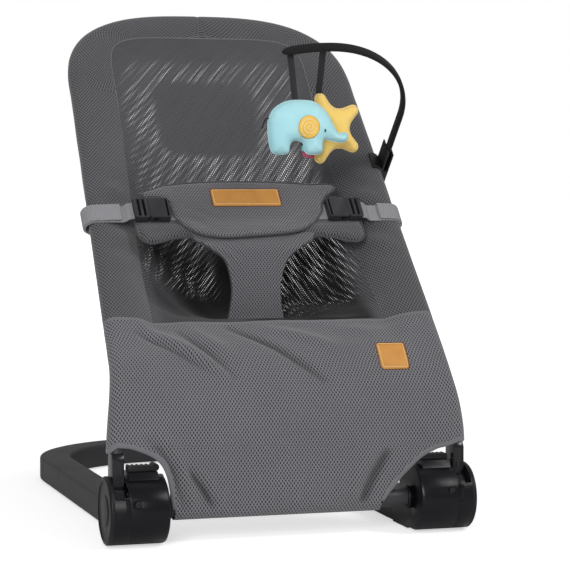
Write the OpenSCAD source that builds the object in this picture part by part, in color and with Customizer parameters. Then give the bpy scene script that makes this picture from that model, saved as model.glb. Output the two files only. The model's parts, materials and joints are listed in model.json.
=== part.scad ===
// Folding infant bouncer seat: U-shaped floor bar, two pivot hubs, a reclining
// tube frame in a mesh cover, a three-point belt and a clip-on toy bar.
// Millimetres, +Z up, X across, the seat faces -Y.

/* [Overall] */
// Width over the two hub caps
overall_w = 430; // [426:1:436]
// Length from the front of the hubs to the rear of the floor bar
overall_l = 718; // [690:1:740]

/* [Hubs] */
// Diameter of the hubs
hub_d = 77; // [75:1:80]
// Width of the inner, fixed half of a hub
housing_w = 45; // [43:1:48]
// Width of the outer ring that the arm swings in
ring_w = 18; // [17:1:20]
// Thickness of a hub cap
cap_t = 5; // [4:0.5:6]
// Wall thickness of the hub mouldings
hub_wall = 4; // [3:0.5:4.5]
// Angle of the arm window in front of the vertical
window_front = 61; // [50:1:66]
// Angle of the arm window behind the vertical
window_rear = 78; // [74:1:84]
// Diameter of the cross tube on the hub axis
axle_d = 21; // [19:0.5:22]
// Wall of the cross tube
axle_wall = 1.5; // [1:0.25:2.5]

/* [Floor bar] */
// Width of the floor bar
bar_w = 41; // [38:1:42]
// Height of the floor bar
bar_h = 31; // [28:1:33]
// Wall of the hollow floor bar
bar_wall = 3; // [2:0.5:4]
// Distance from the hub axis to the centre of the rear bow
bow_y = 497; // [480:1:510]
// How far each rail leans outwards by the time it reaches the bow
rail_splay = 9; // [4:1:10]
// Height of the rubber pads under the bar
pad_h = 1.5; // [1:0.25:2]
// Diameter of the rubber pads
pad_d = 18; // [12:1:24]

/* [Seat frame] */
// Angle of the backrest above the floor
recline = 46.5; // [45:0.5:50]
// Height from the hub axis to the start of the bend
arm_rise = 65.4; // [64:0.2:68]
// Radius of the bend from the arm into the backrest
bend_r = 146; // [140:1:156]
// Length of the frame from the start of the bend to the top of the tube
seat_l = 668; // [645:1:685]
// Diameter of the frame tube
tube_d = 16; // [14:0.5:17]
// Wall of the frame tube
tube_wall = 1.2; // [0.8:0.1:2]
// Half width between tube centres at the knee
knee_x = 190.5; // [188:0.5:192]
// Half width between tube centres at the shoulders
shoulder_x = 176; // [172:1:180]
// Height of the rounded top bow
bow_h = 134; // [120:1:145]
// Height of the folding arms above the hub axis
arm_h = 64; // [62:0.5:65]
// Thickness of a folding arm
arm_t = 13.2; // [12:0.2:14]
// Depth of a folding arm
arm_depth = 26; // [22:1:27]

/* [Cover] */
// Thickness of the mesh cover
cover_t = 1.6; // [1.2:0.1:2]
// Width of the opaque border from tube centre to seam
border_w = 47; // [42:1:50]
// Distance of the centre panel's top seam below the top of the tube
top_seam = 34; // [32:1:42]
// Distance of the knee seam from the start of the bend
knee_s = 160; // [154:1:168]
// Depth that the side seams sag behind the frame
seam_sag = 22; // [14:1:26]
// Depth of the seat pocket behind the frame
pocket_depth = 92; // [75:1:98]
// Distance of the deepest point of the pocket from the start of the bend
pocket_s = 254; // [250:1:262]
// Gap between the left hub and the casing round the cross tube
hem_gap_left = 11; // [9:0.5:14]
// Gap between the right hub and the casing round the cross tube
hem_gap_right = 43; // [38:1:50]
// Distance of the leather patch on the apron from the start of the bend
patch_s = 98; // [92:1:104]

/* [Belt] */
// Distance of the belt line from the start of the bend
belt_s = 320; // [317:1:323]
// Width of the webbing
web_w = 25; // [20:1:26]
// Thickness of the webbing
web_t = 1.4; // [1:0.1:1.6]
// Length of a closed buckle
buckle_l = 43; // [41:1:46]
// Height of a buckle across the webbing
buckle_h = 31; // [30:1:32]
// Thickness of a buckle
buckle_t = 10; // [9:0.5:11]
// Half width between the inner ends of the buckles
buckle_x = 99; // [98:1:102]
// Height of the flap above the belt line
flap_up = 49; // [46:1:52]
// Depth of the flap below the belt line
flap_down = 43; // [40:1:46]
// Distance that the belt pad shows past a buckle's middle
pad_over = 21; // [18:1:24]

/* [Toy bar] */
// Distance of the clip from the start of the bend
clip_s = 409; // [405:1:420]
// Width of the clip along the frame
clip_w = 24; // [20:1:28]
// Width of the fabric band
band_w = 13; // [10:1:15]
// Thickness of the fabric band
band_t = 5; // [4:0.5:6]
// Height of the band above the frame tube
band_rise = 205; // [195:1:210]
// Radius of the band's shoulder
band_r = 112; // [105:1:115]
// Gap between the band and the tube centre, measured across
band_out = 16; // [15.5:0.25:17]
// Length of the elephant's ribbon
elephant_ribbon_l = 57; // [52:1:60]
// Length of the star's ribbon
star_ribbon_l = 53; // [48:1:56]
// Width of the toy ribbons
ribbon_w = 8; // [6:1:10]
// Length of the elephant
elephant_l = 98; // [90:1:102]
// Height of the star
star_h = 80; // [76:1:86]

/* [Latches] */
// Travel of a release slider
slider_travel = 4; // [3:0.5:4]
// Lift of the lock pin per unit of slider travel
pin_ratio = 0.5; // [0.4:0.05:0.5]

/* [Hidden] */

// Clearances
fit_gap = 0.06;    // running clearance round the cross tube
slip_gap = 0.3;    // clearance between loose or soft pieces
swing_gap = 0.8;   // clearance of the toy clip round the covered tube
eps = 0.01;

// Hub positions, worked out from the outside in
hub_r = hub_d / 2;
rib_out = 0.8;
hub_z = hub_r + pad_h;
hub_y = hub_r + rib_out - overall_l / 2;
x_out = overall_w / 2;
x_cap = x_out - cap_t;
x_seam = x_cap - ring_w;
x_in = x_seam - housing_w;
axle_r = axle_d / 2;
arm_x = x_seam + ring_w / 2;
boss_r = hub_r - hub_wall - 4;
bore_r = axle_r + fit_gap;

// Floor bar
rail_x = x_in + bar_w / 2 + 0.5;
stub_y = 62;
bar_z0 = pad_h;
bar_z1 = pad_h + bar_h;
bar_chamfer = 3.5;
bow_r = overall_l - hub_r - rib_out - bow_y - bar_w / 2;
spigot_l = 26;

// Latch on top of each hub
latch_x0 = x_in + 9;
latch_x1 = x_seam - 2;
latch_y = 17;
latch_z = hub_z + hub_r + 4.5;
pin_x = x_seam - 10;
pin_r = 3;
stem_r = 2.2;
plate_r = 22;
plate_t = 6;
pin_z0 = hub_z + plate_r + 0.4;
pin_collar_z = pin_z0 + 4;
pin_collar_t = 2;
head_t = 1.2;
head_r = 3.6;
slider_z = latch_z + slip_gap;
slider_h = 7;
slider_y = 8;
slider_x0 = latch_x0 + 2;
slider_x1 = latch_x1 - 1.2;
slider_floor = 0.9;
chamber_z = slider_z + slider_floor;
chamber_y = 4.4;
knob_r = 4.3;
tooth_h = 1.3;
spring_wire = 0.9;
spring_turns = 3;

// Seat frame
turn = 90 - recline;
arc_l = bend_r * turn * PI / 180;
arc_z = hub_z + arm_rise;
shoulder_s = seat_l - bow_h;
bow_power = 2.9;
tube_r = tube_d / 2;
arm_top = hub_z + arm_h;
stub_l = 11;
stub_r = tube_r - tube_wall - 1.4;
cover_in = tube_r + slip_gap;
cover_r = cover_in + cover_t;
seam_s = seat_l - top_seam;
tip_s = arm_top - arc_z + 1;

// Belt layers, as distances in front of the frame plane
pad_lift = cover_r + 0.7;
pad_t = 3;
web_lift = pad_lift + pad_t + slip_gap;
flap_lift = web_lift + web_t + slip_gap;
flap_t = 2.2;
patch_lift = flap_lift + flap_t;
patch_t = 1.5;
buckle_lift = pad_lift + pad_t + slip_gap;
half_l = buckle_l / 2;

// Toy bar
clip_x = tube_x(clip_s);
clip_in = cover_r + swing_gap;
clip_out = clip_in + 3.6;
band_x = clip_x + band_out;
droop_r = 200;
band_end_x = 22;
elephant_x = 32;
star_x = 71;
elephant_t = 30;
star_t = 24;
elephant_lean = -20;
star_lean = 19;
star_tilt = 13;
star_tip = star_h * 0.58;
star_reach = star_tip * 0.94;

function clamp01(t) = max(0, min(1, t));
function lerp(a, b, t) = a + (b - a) * t;
function smooth(t) = let (c = clamp01(t)) c * c * (3 - 2 * c);

// Side line of the frame: turn angle, point and outward normal at distance s
function side_turn(s) = clamp01(s / arc_l) * turn;
function side_y(s) = bend_r * (1 - cos(side_turn(s))) + max(0, s - arc_l) * sin(turn);
function side_z(s) = arc_z + min(s, 0) + bend_r * sin(side_turn(s)) + max(0, s - arc_l) * cos(turn);
function on_seat(x, s, lift) =
  [x, side_y(s) - lift * cos(side_turn(s)), side_z(s) + lift * sin(side_turn(s))];
function seat_normal(s) = [0, -cos(side_turn(s)), sin(side_turn(s))];

// Half width between tube centres
function tube_x(s) = s < arc_l
  ? lerp(arm_x, knee_x, smooth(s / arc_l))
  : lerp(knee_x, shoulder_x, clamp01((s - arc_l) / (shoulder_s - arc_l)));

// Tube path and seam path over the right half of the top bow, t from 0 to 1
function bow_point(t) = let (a = 90 * smooth(t))
  [shoulder_x * pow(cos(a), 2 / bow_power), shoulder_s + bow_h * pow(sin(a), 2 / bow_power)];
function bow_seam(t) = let (a = 90 * smooth(t)) [
  (shoulder_x - border_w) * pow(cos(a), seam_power),
  shoulder_s + (seam_s - shoulder_s) * pow(sin(a), seam_power)];

// Sag of the side seams, and depth of the centre panel, behind the frame plane
function seam_x(s) = tube_x(s) - border_w;
function sag(s) = seam_sag * (s > pocket_s
  ? pow(cos(90 * clamp01((s - pocket_s) / (seam_s - pocket_s))), 1.5)
  : lerp(0.45, 1, smooth((s - knee_s) / (pocket_s - knee_s))));
function pocket_side(s) = s > pocket_s
  ? pow(cos(90 * clamp01((s - pocket_s) / (seam_s - pocket_s))), 2.6)
  : cos(90 * clamp01((pocket_s - s) / (pocket_s - knee_s)));
function pocket(x, s, w) =
  lerp(max(sag(s), pocket_depth * pocket_side(s)), sag(s), pow(min(1, abs(x) / w), 2.6));

// Closed solid between two grids of points with the same rows and columns
module sheet_solid(front, back) {
  rows = len(front);
  cols = len(front[0]);
  n = rows * cols;
  function quad(a, b, c, d) = [[a, b, c], [a, c, d]];
  sides = [
    for (r = [0:rows - 2], c = [0:cols - 2])
      each let (i = r * cols + c) concat(
        quad(i, i + 1, i + cols + 1, i + cols),
        quad(n + i, n + i + cols, n + i + cols + 1, n + i + 1))];
  ends = [
    for (c = [0:cols - 2])
      each let (j = (rows - 1) * cols + c) concat(
        quad(c, n + c, n + c + 1, c + 1),
        quad(j, j + 1, n + j + 1, n + j))];
  edges = [
    for (r = [0:rows - 2])
      each let (i = r * cols, j = r * cols + cols - 1) concat(
        quad(i, i + cols, n + i + cols, n + i),
        quad(j, n + j, n + j + cols, j + cols))];
  polyhedron(concat([for (r = front) each r], [for (r = back) each r]), concat(sides, ends, edges));
}

// Closed solid through a list of rings with the same number of points
module ring_solid(rings) {
  rows = len(rings);
  n = len(rings[0]);
  walls = [
    for (r = [0:rows - 2], k = [0:n - 1])
      each let (a = r * n + k, b = r * n + (k + 1) % n) [[a, b, b + n], [a, b + n, a + n]]];
  first = [[for (k = [n - 1:-1:0]) k]];
  last = [[for (k = [0:n - 1]) (rows - 1) * n + k]];
  polyhedron([for (r = rings) each r], concat(walls, first, last));
}

// Round rings along a path, each in the plane of the path's normal and binormal
function unit(v) = v / norm(v);
function path_dir(path, i) = unit(path[min(i + 1, len(path) - 1)] - path[max(i - 1, 0)]);
function tube_rings(path, normals, r, sides) = [
  for (i = [0:len(path) - 1])
    let (b = unit(cross(path_dir(path, i), normals[i])), m = unit(cross(b, path_dir(path, i))))
      [for (k = [0:sides - 1])
        path[i] + r * (m * cos(k * 360 / sides) - b * sin(k * 360 / sides))]];

// Puts a module modelled about the hub axis into the part's frame
module placed() { translate([0, hub_y, 0]) children(); }
// Right-hand piece as modelled, left-hand piece mirrored
module handed(side) { placed() mirror([side == "left" ? 1 : 0, 0, 0]) children(); }
// Cylinder along X about the hub axis
module hub_cylinder(x0, x1, r) {
  translate([x0, 0, hub_z]) rotate([0, 90, 0]) cylinder(h = x1 - x0, r = r, $fn = 96);
}
// Extrusion along X of an outline drawn in Y and Z
module side_extrude(x0, x1) {
  translate([x0, 0, 0]) rotate([90, 0, 90]) linear_extrude(x1 - x0) children();
}
// Local frame on the backrest: X across, Y up the slope, Z out of the seat
module on_back(s, lift) {
  translate(on_seat(0, s, lift)) rotate([recline, 0, 0]) children();
}

// ---- Floor bar -------------------------------------------------------------

function bar_profile(half, z0, z1, c) = [
  [-half, z0 + c], [-half + c, z0], [half - c, z0], [half, z0 + c],
  [half, z1 - c], [half - c, z1], [-half + c, z1], [-half, z1 - c]];
bow_steps = 28;
straight_y = stub_y + spigot_l + 2;
function bar_path() = concat(
  [[rail_x, stub_y], [rail_x, straight_y]],
  [for (k = [0:bow_steps]) let (a = 180 * k / bow_steps)
    [(rail_x + rail_splay) * cos(a), bow_y + bow_r * sin(a)]],
  [[-rail_x, straight_y], [-rail_x, stub_y]]);
function bar_rings(profile, path) = [
  for (i = [0:len(path) - 1])
    let (d = path_dir(path, i), across = [d[1], -d[0]])
      [for (p = profile) [path[i][0] + across[0] * p[0], path[i][1] + across[1] * p[0], p[1]]]];

module floor_bar() {
  half = bar_w / 2;
  inner = bar_profile(half - bar_wall, bar_z0 + bar_wall, bar_z1 - bar_wall, slip_gap);
  color("#3a3a3c") placed() difference() {
    ring_solid(bar_rings(bar_profile(half, bar_z0, bar_z1, bar_chamfer), bar_path()));
    ring_solid(bar_rings(inner, concat(
      [[rail_x, stub_y - 1]], bar_path(), [[-rail_x, stub_y - 1]])));
  }
}

module foot_pads() {
  bow_a = 58;
  spots = [
    [rail_x, stub_y - 22], [-rail_x, stub_y - 22],
    [(rail_x + rail_splay) * cos(bow_a), bow_y + bow_r * sin(bow_a)],
    [-(rail_x + rail_splay) * cos(bow_a), bow_y + bow_r * sin(bow_a)]];
  color("#1c1c1c") placed() for (p = spots)
    translate([p[0], p[1], 0]) cylinder(h = pad_h, d = pad_d, $fn = 48);
}

// ---- Hubs ------------------------------------------------------------------

module gusset_outline() {
  polygon([
    [0, bar_z0 + 6], [12, bar_z0], [stub_y, bar_z0], [stub_y, bar_z1],
    [stub_y - 14, bar_z1 + 2], [stub_y - 21, hub_z + 7], [stub_y - 27, hub_z + 27],
    [9, hub_z + hub_r - 0.5], [0, hub_z + hub_r - 1]]);
}

module hub_housing(side) {
  cheek = 5;
  boss_z = hub_z + 11;
  color("#242428") handed(side) difference() {
    union() {
      // drum with a rounded inner edge
      translate([x_in, 0, hub_z]) rotate([0, 90, 0]) rotate_extrude($fn = 96)
        polygon([[0, 0], [hub_r - 4, 0], [hub_r - 1.2, 1.2], [hub_r, 4], [hub_r, housing_w], [0, housing_w]]);
      // cheeks and stub that carry the floor bar
      difference() {
        side_extrude(x_in, x_in + bar_w + 1) gusset_outline();
        translate([x_in + cheek, hub_r - 8, bar_z1]) cube([bar_w + 1 - 2 * cheek, stub_y, hub_r * 2]);
      }
      translate([rail_x - bar_w / 2 + bar_wall + slip_gap, stub_y - eps, bar_z0 + bar_wall + slip_gap])
        cube([bar_w - 2 * (bar_wall + slip_gap), spigot_l, bar_h - 2 * (bar_wall + slip_gap)]);
      // latch block
      side_extrude(latch_x0, latch_x1) polygon([
        [-latch_y, hub_z + hub_r - 8], [-latch_y, latch_z - 9], [-latch_y + 6, latch_z],
        [latch_y - 4, latch_z], [latch_y, latch_z - 4], [latch_y, hub_z + hub_r - 8]]);
    }
    hub_cylinder(x_in + hub_wall, x_seam + 1, hub_r - hub_wall);
    hub_cylinder(x_in - 1, x_in + hub_wall + 1, bore_r);
    // guide of the lock pin
    translate([pin_x, 0, hub_z]) cylinder(h = hub_d, r = stem_r + slip_gap, $fn = 32);
    // countersink of the front screw
    translate([x_seam - 8, -hub_r - 1, boss_z]) rotate([-90, 0, 0]) cylinder(h = 4, d = 9, $fn = 40);
  }
}

module hub_ring(side) {
  rib_w = 4;
  color("#26262a") handed(side) difference() {
    union() {
      hub_cylinder(x_seam, x_cap, hub_r);
      // rib and stop block below the window
      translate([x_seam + 1.5, -hub_r - rib_out, hub_z + 2]) cube([rib_w, 6, 15]);
      translate([x_seam + 0.5, -hub_r - rib_out, hub_z - 2.5]) cube([rib_w + 2, 5, 2.2]);
    }
    hub_cylinder(x_seam - 1, x_cap + 1, hub_r - hub_wall);
    // window that the arm swings in
    side_extrude(x_seam + 1.2, x_cap - 1.2) translate([0, hub_z]) polygon(concat([[0, 0]], [
      for (k = [0:8]) let (a = lerp(window_front, -window_rear, k / 8))
        1.6 * hub_r * [-sin(a), cos(a)]]));
  }
}

module hub_cap(side) {
  rim = 4.5;
  eye = 17;
  color("#2e2e32") handed(side) translate([x_cap, 0, hub_z]) rotate([0, 90, 0]) rotate_extrude($fn = 96)
    polygon([
      [0, 0], [hub_r, 0], [hub_r, cap_t - 2], [hub_r - 1.5, cap_t - 0.4], [hub_r - 2.5, cap_t],
      [hub_r - rim, cap_t], [hub_r - rim - 1, cap_t - 1.6], [eye + 1, cap_t - 1.6],
      [eye, cap_t - 0.4], [0, cap_t - 0.4]]);
}

module tube_collar(side) {
  color("#1c1c1e") handed(side) translate([x_in - 7, 0, hub_z]) rotate([0, 90, 0]) rotate_extrude($fn = 72)
    polygon([[bore_r, 0], [axle_r + 2.5, 0], [axle_r + 3.5, 1], [axle_r + 3.5, 3.2], [axle_r + 2, 4],
      [axle_r + 2, 7], [bore_r, 7]]);
}

module cross_tube() {
  color("#2c2c30") placed() difference() {
    hub_cylinder(-x_cap + 0.6, x_cap - 0.6, axle_r);
    hub_cylinder(-x_cap, x_cap, axle_r - axle_wall);
  }
}

module hub_screws() {
  color("#8c8c90") for (side = ["left", "right"]) handed(side)
    translate([x_seam - 8, -hub_r + 0.6, hub_z + 11]) rotate([-90, 0, 0]) difference() {
      cylinder(h = 1.6, d = 7, $fn = 32);
      translate([-2.4, -0.5, -1]) cube([4.8, 1, 1.9]);
      translate([-0.5, -2.4, -1]) cube([1, 4.8, 1.9]);
    }
}

// ---- Latches ---------------------------------------------------------------

// Rises under the edge of the pin's head as the slider moves inwards
module slider_ramp() {
  ramp_y = stem_r + 0.7;
  head_edge = pin_x + sqrt(pow(head_r, 2) - pow(ramp_y, 2));
  ramp_z = chamber_z + 0.3;
  reach = slider_travel + 0.2;
  rotate([90, 0, 0]) linear_extrude(chamber_y + 0.2 - ramp_y) polygon([
    [head_edge - 0.3 / pin_ratio - 0.5, chamber_z - 0.3],
    [head_edge + reach, chamber_z - 0.3],
    [head_edge + reach, ramp_z + reach * pin_ratio],
    [head_edge - 0.3 / pin_ratio, chamber_z]]);
}

module release_slider(side) {
  teeth = 5;
  pitch = (slider_x1 - slider_x0 - knob_r) / teeth;
  head_room = 0.4 + head_t + slider_travel * pin_ratio + 0.3;
  color("#101012") handed(side) union() {
    difference() {
      rotate([90, 0, 0]) translate([0, 0, -slider_y]) linear_extrude(2 * slider_y) union() {
        polygon(concat(
          [[slider_x1, slider_z], [slider_x0, slider_z]],
          [for (k = [0:teeth - 1]) each let (x = slider_x0 + knob_r + k * pitch) [
            [x, slider_z + slider_h - tooth_h], [x + pitch * 0.7, slider_z + slider_h]]],
          [[slider_x1, slider_z + slider_h - tooth_h]]));
        translate([slider_x0, slider_z + knob_r]) circle(r = knob_r, $fn = 40);
      }
      // slot for the pin's stem and chamber for its head
      translate([pin_x - stem_r - 0.6, -stem_r - 0.6, slider_z - 1])
        cube([slider_x1, 2 * stem_r + 1.2, 3]);
      translate([pin_x - head_r - 1, -chamber_y, chamber_z])
        cube([slider_x1, 2 * chamber_y, head_room]);
    }
    translate([0, -stem_r - 0.7, 0]) slider_ramp();
    mirror([0, 1, 0]) translate([0, -stem_r - 0.7, 0]) slider_ramp();
  }
}

module lock_pin(side) {
  stem_top = chamber_z + 0.4;
  color("#b8b8bc") handed(side) translate([pin_x, 0, 0]) rotate_extrude($fn = 40) polygon([
    [0, pin_z0], [pin_r - 0.6, pin_z0], [pin_r, pin_z0 + 0.6], [pin_r, pin_collar_z],
    [5.4, pin_collar_z], [5.4, pin_collar_z + pin_collar_t], [stem_r, pin_collar_z + pin_collar_t],
    [stem_r, stem_top], [head_r, stem_top], [head_r, stem_top + head_t], [0, stem_top + head_t]]);
}

module pin_spring(side) {
  z0 = pin_collar_z + pin_collar_t + spring_wire / 2 + 0.05;
  z1 = hub_z + sqrt(pow(hub_r - hub_wall, 2) - 36) - spring_wire / 2 - 0.25;
  steps = spring_turns * 14;
  path = [for (i = [0:steps]) let (a = 360 * spring_turns * i / steps)
    [pin_x + 3.9 * cos(a), 3.9 * sin(a), lerp(z0, z1, i / steps)]];
  color("#c8c8cc") handed(side)
    ring_solid(tube_rings(path, [for (p = path) [0, 0, 1]], spring_wire / 2, 6));
}

// ---- Folding arms ----------------------------------------------------------

module arm_outline() {
  half = arm_depth / 2;
  polygon([
    [-half, 0], [half, 0], [half - 1, arm_top - hub_z - 6], [half - 5, arm_top - hub_z],
    [-half + 5, arm_top - hub_z], [-half + 1, arm_top - hub_z - 6]]);
}

module arm(side) {
  x0 = arm_x - arm_t / 2;
  groove = 2.2;
  color("#1e1e22") handed(side) difference() {
    union() {
      hub_cylinder(x_seam + 1, x_cap - 0.6, boss_r);
      side_extrude(x0, x0 + arm_t) translate([0, hub_z]) arm_outline();
      // stub that the frame tube is pushed onto
      translate([arm_x, 0, arm_top - eps]) cylinder(h = stub_l, r = stub_r, $fn = 40);
    }
    hub_cylinder(x_seam - 1, x_cap + 1, bore_r);
    // two long grooves on the front and on the back
    for (y = [-1, 1], dx = [-1, 1])
      translate([arm_x + dx * arm_t / 5 - groove / 2, y * arm_depth / 2 - 1.6, hub_z + boss_r + 3])
        cube([groove, 3.2, arm_top - hub_z - boss_r - 12]);
  }
}

module lock_plate(side) {
  notch_w = 2 * pin_r + 1;
  color("#9a9a9e") handed(side) difference() {
    union() {
      hub_cylinder(pin_x - plate_t / 2, pin_x + plate_t / 2, plate_r);
      hub_cylinder(pin_x, x_seam + 1, axle_r + 4);
    }
    hub_cylinder(pin_x - plate_t, x_seam + 2, bore_r);
    for (a = [0, 18, 36]) translate([0, 0, hub_z]) rotate([a, 0, 0])
      translate([pin_x - plate_t, -notch_w / 2, plate_r - 4]) cube([2 * plate_t, notch_w, 8]);
  }
}

// ---- Frame tube ------------------------------------------------------------

arc_steps = 11;
function frame_half() = concat(
  [for (k = [2:arc_steps]) let (s = arc_l * k / arc_steps) [tube_x(s), s]],
  [for (k = [1:4]) let (s = lerp(arc_l, shoulder_s, k / 4)) [tube_x(s), s]],
  [for (k = [1:10]) bow_point(k / 10)]);
function mirrored(points) = [for (i = [len(points) - 2:-1:0]) [-points[i][0], points[i][1]]];
function frame_line() = concat(frame_half(), mirrored(frame_half()));

// Path of the frame from arm to arm, run on past both ends by the length given
module frame_sweep(r, sides, over) {
  line = frame_line();
  foot = arm_top + slip_gap - over;
  ends = [[arm_x, 0, foot], [arm_x, 0, arm_top + 2]];
  path = concat(
    ends, [for (p = line) on_seat(p[0], p[1], 0)], [[-arm_x, 0, arm_top + 2], [-arm_x, 0, foot]]);
  normals = concat([for (p = ends) seat_normal(0)], [for (p = line) seat_normal(p[1])],
    [for (p = ends) seat_normal(0)]);
  ring_solid(tube_rings(path, normals, r, sides));
}

module seat_frame_tube() {
  color("#5a5a5e") placed() difference() {
    frame_sweep(tube_r, 12, 0);
    frame_sweep(tube_r - tube_wall, 12, 2);
  }
}

// ---- Cover -----------------------------------------------------------------

// Wrap of the cover round the tube: [inward, lift] pairs, flats at the radius given
wrap_steps = 7;
function wrap(r) = [
  for (k = [0:wrap_steps]) let (a = 90 + 180 * k / wrap_steps, out = r / cos(90 / wrap_steps))
    [out * cos(a), out * sin(a)]];
// Direction of the tube in the frame plane along the straight side and round the bow
side_dir = unit([shoulder_x - knee_x, shoulder_s - arc_l]);
function bow_dir(k) = k == 10 ? [-1, 0]
  : k == 0 ? unit(bow_point(0.1) - [tube_x(shoulder_s - 10), shoulder_s - 10])
  : unit(bow_point((k + 1) / 10) - bow_point((k - 1) / 10));
// Row of border from the seam point q out over the tube at c
function border_row(c, q, dir, r, seam_lift) =
  let (n = [-dir[1], dir[0]], e = c + n * 0.3 * norm(q - c))
    concat(
      [on_seat(q[0], q[1], seam_lift)],
      [let (m = lerp(q, e, 0.55)) on_seat(m[0], m[1], lerp(seam_lift, r, 0.62))],
      [on_seat(e[0], e[1], r)],
      [for (p = wrap(r)) let (m = c + n * p[0]) on_seat(m[0], m[1], p[1])]);
function border_rows(r, seam_lift) = concat(
  [for (k = [0:5]) let (s = lerp(knee_s + 2 * slip_gap, shoulder_s, k / 6))
    border_row([tube_x(s), s], [seam_x(s), s], side_dir, r, seam_lift - sag(s))],
  [for (k = [0:10]) let (centre_gap = [k == 10 ? slip_gap / 2 : 0, 0])
    border_row(bow_point(k / 10) + centre_gap, bow_seam(k / 10) + centre_gap, bow_dir(k), r,
      seam_lift - sag(bow_seam(k / 10)[1]))]);

module border(side) {
  color("#4e4e52") handed(side)
    sheet_solid(border_rows(cover_in, cover_in - 2), border_rows(cover_r, cover_r - 2));
}

// Centre panel: flat at the top, a deep pocket over the seat
panel_gap = 0.4;
panel_cols = 14;
top_row = 6;
seam_power = 0.35;
function seam_top(x) = shoulder_s + (seam_s - shoulder_s)
  * pow(1 - pow(abs(x) / (shoulder_x - border_w), 2 / seam_power), seam_power / 2);
function panel_point(x, s, w, t) =
  let (
    d = pocket(x, s, w),
    slope = norm([pocket(x + 1, s, w) - d, pocket(x, s + 1, w) - d]))
    on_seat(x, s, cover_in - 2 - d - t * sqrt(1 + slope * slope));
function panel_rows(t) = concat(
  [for (r = [0:16])
    let (s = lerp(knee_s + 0.5, shoulder_s, r / 16), w = seam_x(s) - panel_gap)
      [for (c = [0:panel_cols]) panel_point(lerp(w, -w, c / panel_cols), s, w, t)]],
  [for (k = [1:top_row])
    let (q = bow_seam(k / 10), w = q[0] - panel_gap)
      [for (c = [0:panel_cols])
        let (x = lerp(w, -w, c / panel_cols), s = k == top_row ? seam_top(x) : q[1])
          panel_point(x, s - panel_gap, seam_x(shoulder_s), t)]]);

module back_panel() {
  color("#5c5c60") placed() sheet_solid(panel_rows(-cover_t), panel_rows(0));
}

// Apron: flat front with both edges wrapped round the tubes
function apron_row(s, r) =
  let (w = tube_x(s), hand = wrap(r))
    concat(
      [for (i = [len(hand) - 1:-1:1]) on_seat(w - hand[i][0], s, hand[i][1])],
      [for (k = [0:4]) on_seat(lerp(w, -w, k / 4), s, r)],
      [for (i = [1:len(hand) - 1]) on_seat(-w + hand[i][0], s, hand[i][1])]);
apron_steps = 12;
function apron_rows(r) = [
  for (k = [0:apron_steps]) apron_row(lerp(tip_s, knee_s - slip_gap / 2, k / apron_steps), r)];

// Curved side edges below the tips: [height above the hub axis, share of the way from hem to tube]
hem_left = x_in - hem_gap_left;
hem_right = x_in - hem_gap_right;
edge_left = [[0, 0], [26, 0.15], [52, 0.27], [57, 0.48], [66, 0.75], [68, 1]];
edge_right = [[0, 0], [12, 0.16], [32, 0.35], [53, 0.52], [58, 0.66], [62, 0.84], [66, 1]];
function hem_row(z, lift) = let (tip_x = arm_x - 13)
  [for (k = [0:6]) [lerp(lerp(hem_right, tip_x, lookup(z - hub_z, edge_right)),
    -lerp(hem_left, tip_x, lookup(z - hub_z, edge_left)), k / 6), -lift, z]];
hem_heights = [0, 12, 26, 40, 52, 57, 62, 66, 68.6];
function hem_rows(t) = [
  for (h = hem_heights) hem_row(hub_z + h, lerp(axle_r + 2.2, cover_r, clamp01(h / 50)) - t)];

module apron() {
  color("#535357") placed() union() {
    sheet_solid(apron_rows(cover_r), apron_rows(cover_in));
    sheet_solid(hem_rows(0), hem_rows(cover_t));
  }
}

// Casing of the apron's lower edge, closed round the cross tube
module apron_hem() {
  r_in = axle_r + slip_gap;
  r_out = axle_r + 2.2;
  color("#535357") placed() difference() {
    union() {
      hub_cylinder(-hem_left, hem_right, r_out);
      translate([-hem_left, axle_r, hub_z]) cube([hem_left + hem_right, 2.2, 14]);
    }
    hub_cylinder(-x_in, x_in, r_in);
    translate([-x_in, -hub_r - axle_r, hub_z - slip_gap]) cube([2 * x_in, hub_r, hub_r]);
  }
}

module crotch_strip() {
  // [distance up the frame, lift, half width] from the belt down into the pocket
  drop = [[38, 0, 74], [50, 0, 66], [59, -4, 48], [70, -12, 36], [84, -25, 29], [100, -41, 28],
    [117, -57, 34]];
  line = [for (p = drop) [belt_s - p[0], pad_lift + 1.8 + p[1], p[2]]];
  t = 2;
  back_off = [[0, -t], [0, -t], [1, -t], [1.4, -t], [1.4, -t], [1.4, -t], [1.4, -t]];
  function strip(off) = [
    for (i = [len(line) - 1:-1:0])
      [for (k = [0:4]) on_seat(lerp(line[i][2], -line[i][2], k / 4),
        line[i][0] + off * back_off[i][0], line[i][1] + off * back_off[i][1])]];
  color("#565659") placed() sheet_solid(strip(0), strip(1));
}

// ---- Belt ------------------------------------------------------------------

module belt_pad() {
  half = buckle_x + half_l + pad_over;
  waist = flap_down - 5.3;
  color("#606064") placed() on_back(belt_s, pad_lift) linear_extrude(pad_t)
    offset(r = 10, $fn = 32) offset(delta = -10) polygon([
      [-half + 16, 26], [half - 16, 26], [half, -8], [half, -flap_down + 2], [half - 10, -flap_down - 4],
      [half - 34, -flap_down], [half - 62, -waist], [-half + 62, -waist], [-half + 34, -flap_down],
      [-half + 10, -flap_down - 4], [-half, -flap_down + 2], [-half, -8]]);
}

module belt_webbing() {
  color("#8a8a8e") placed() on_back(belt_s, web_lift)
    translate([-buckle_x + slip_gap, -web_w / 2, 0]) cube([2 * (buckle_x - slip_gap), web_w, web_t]);
}

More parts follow.
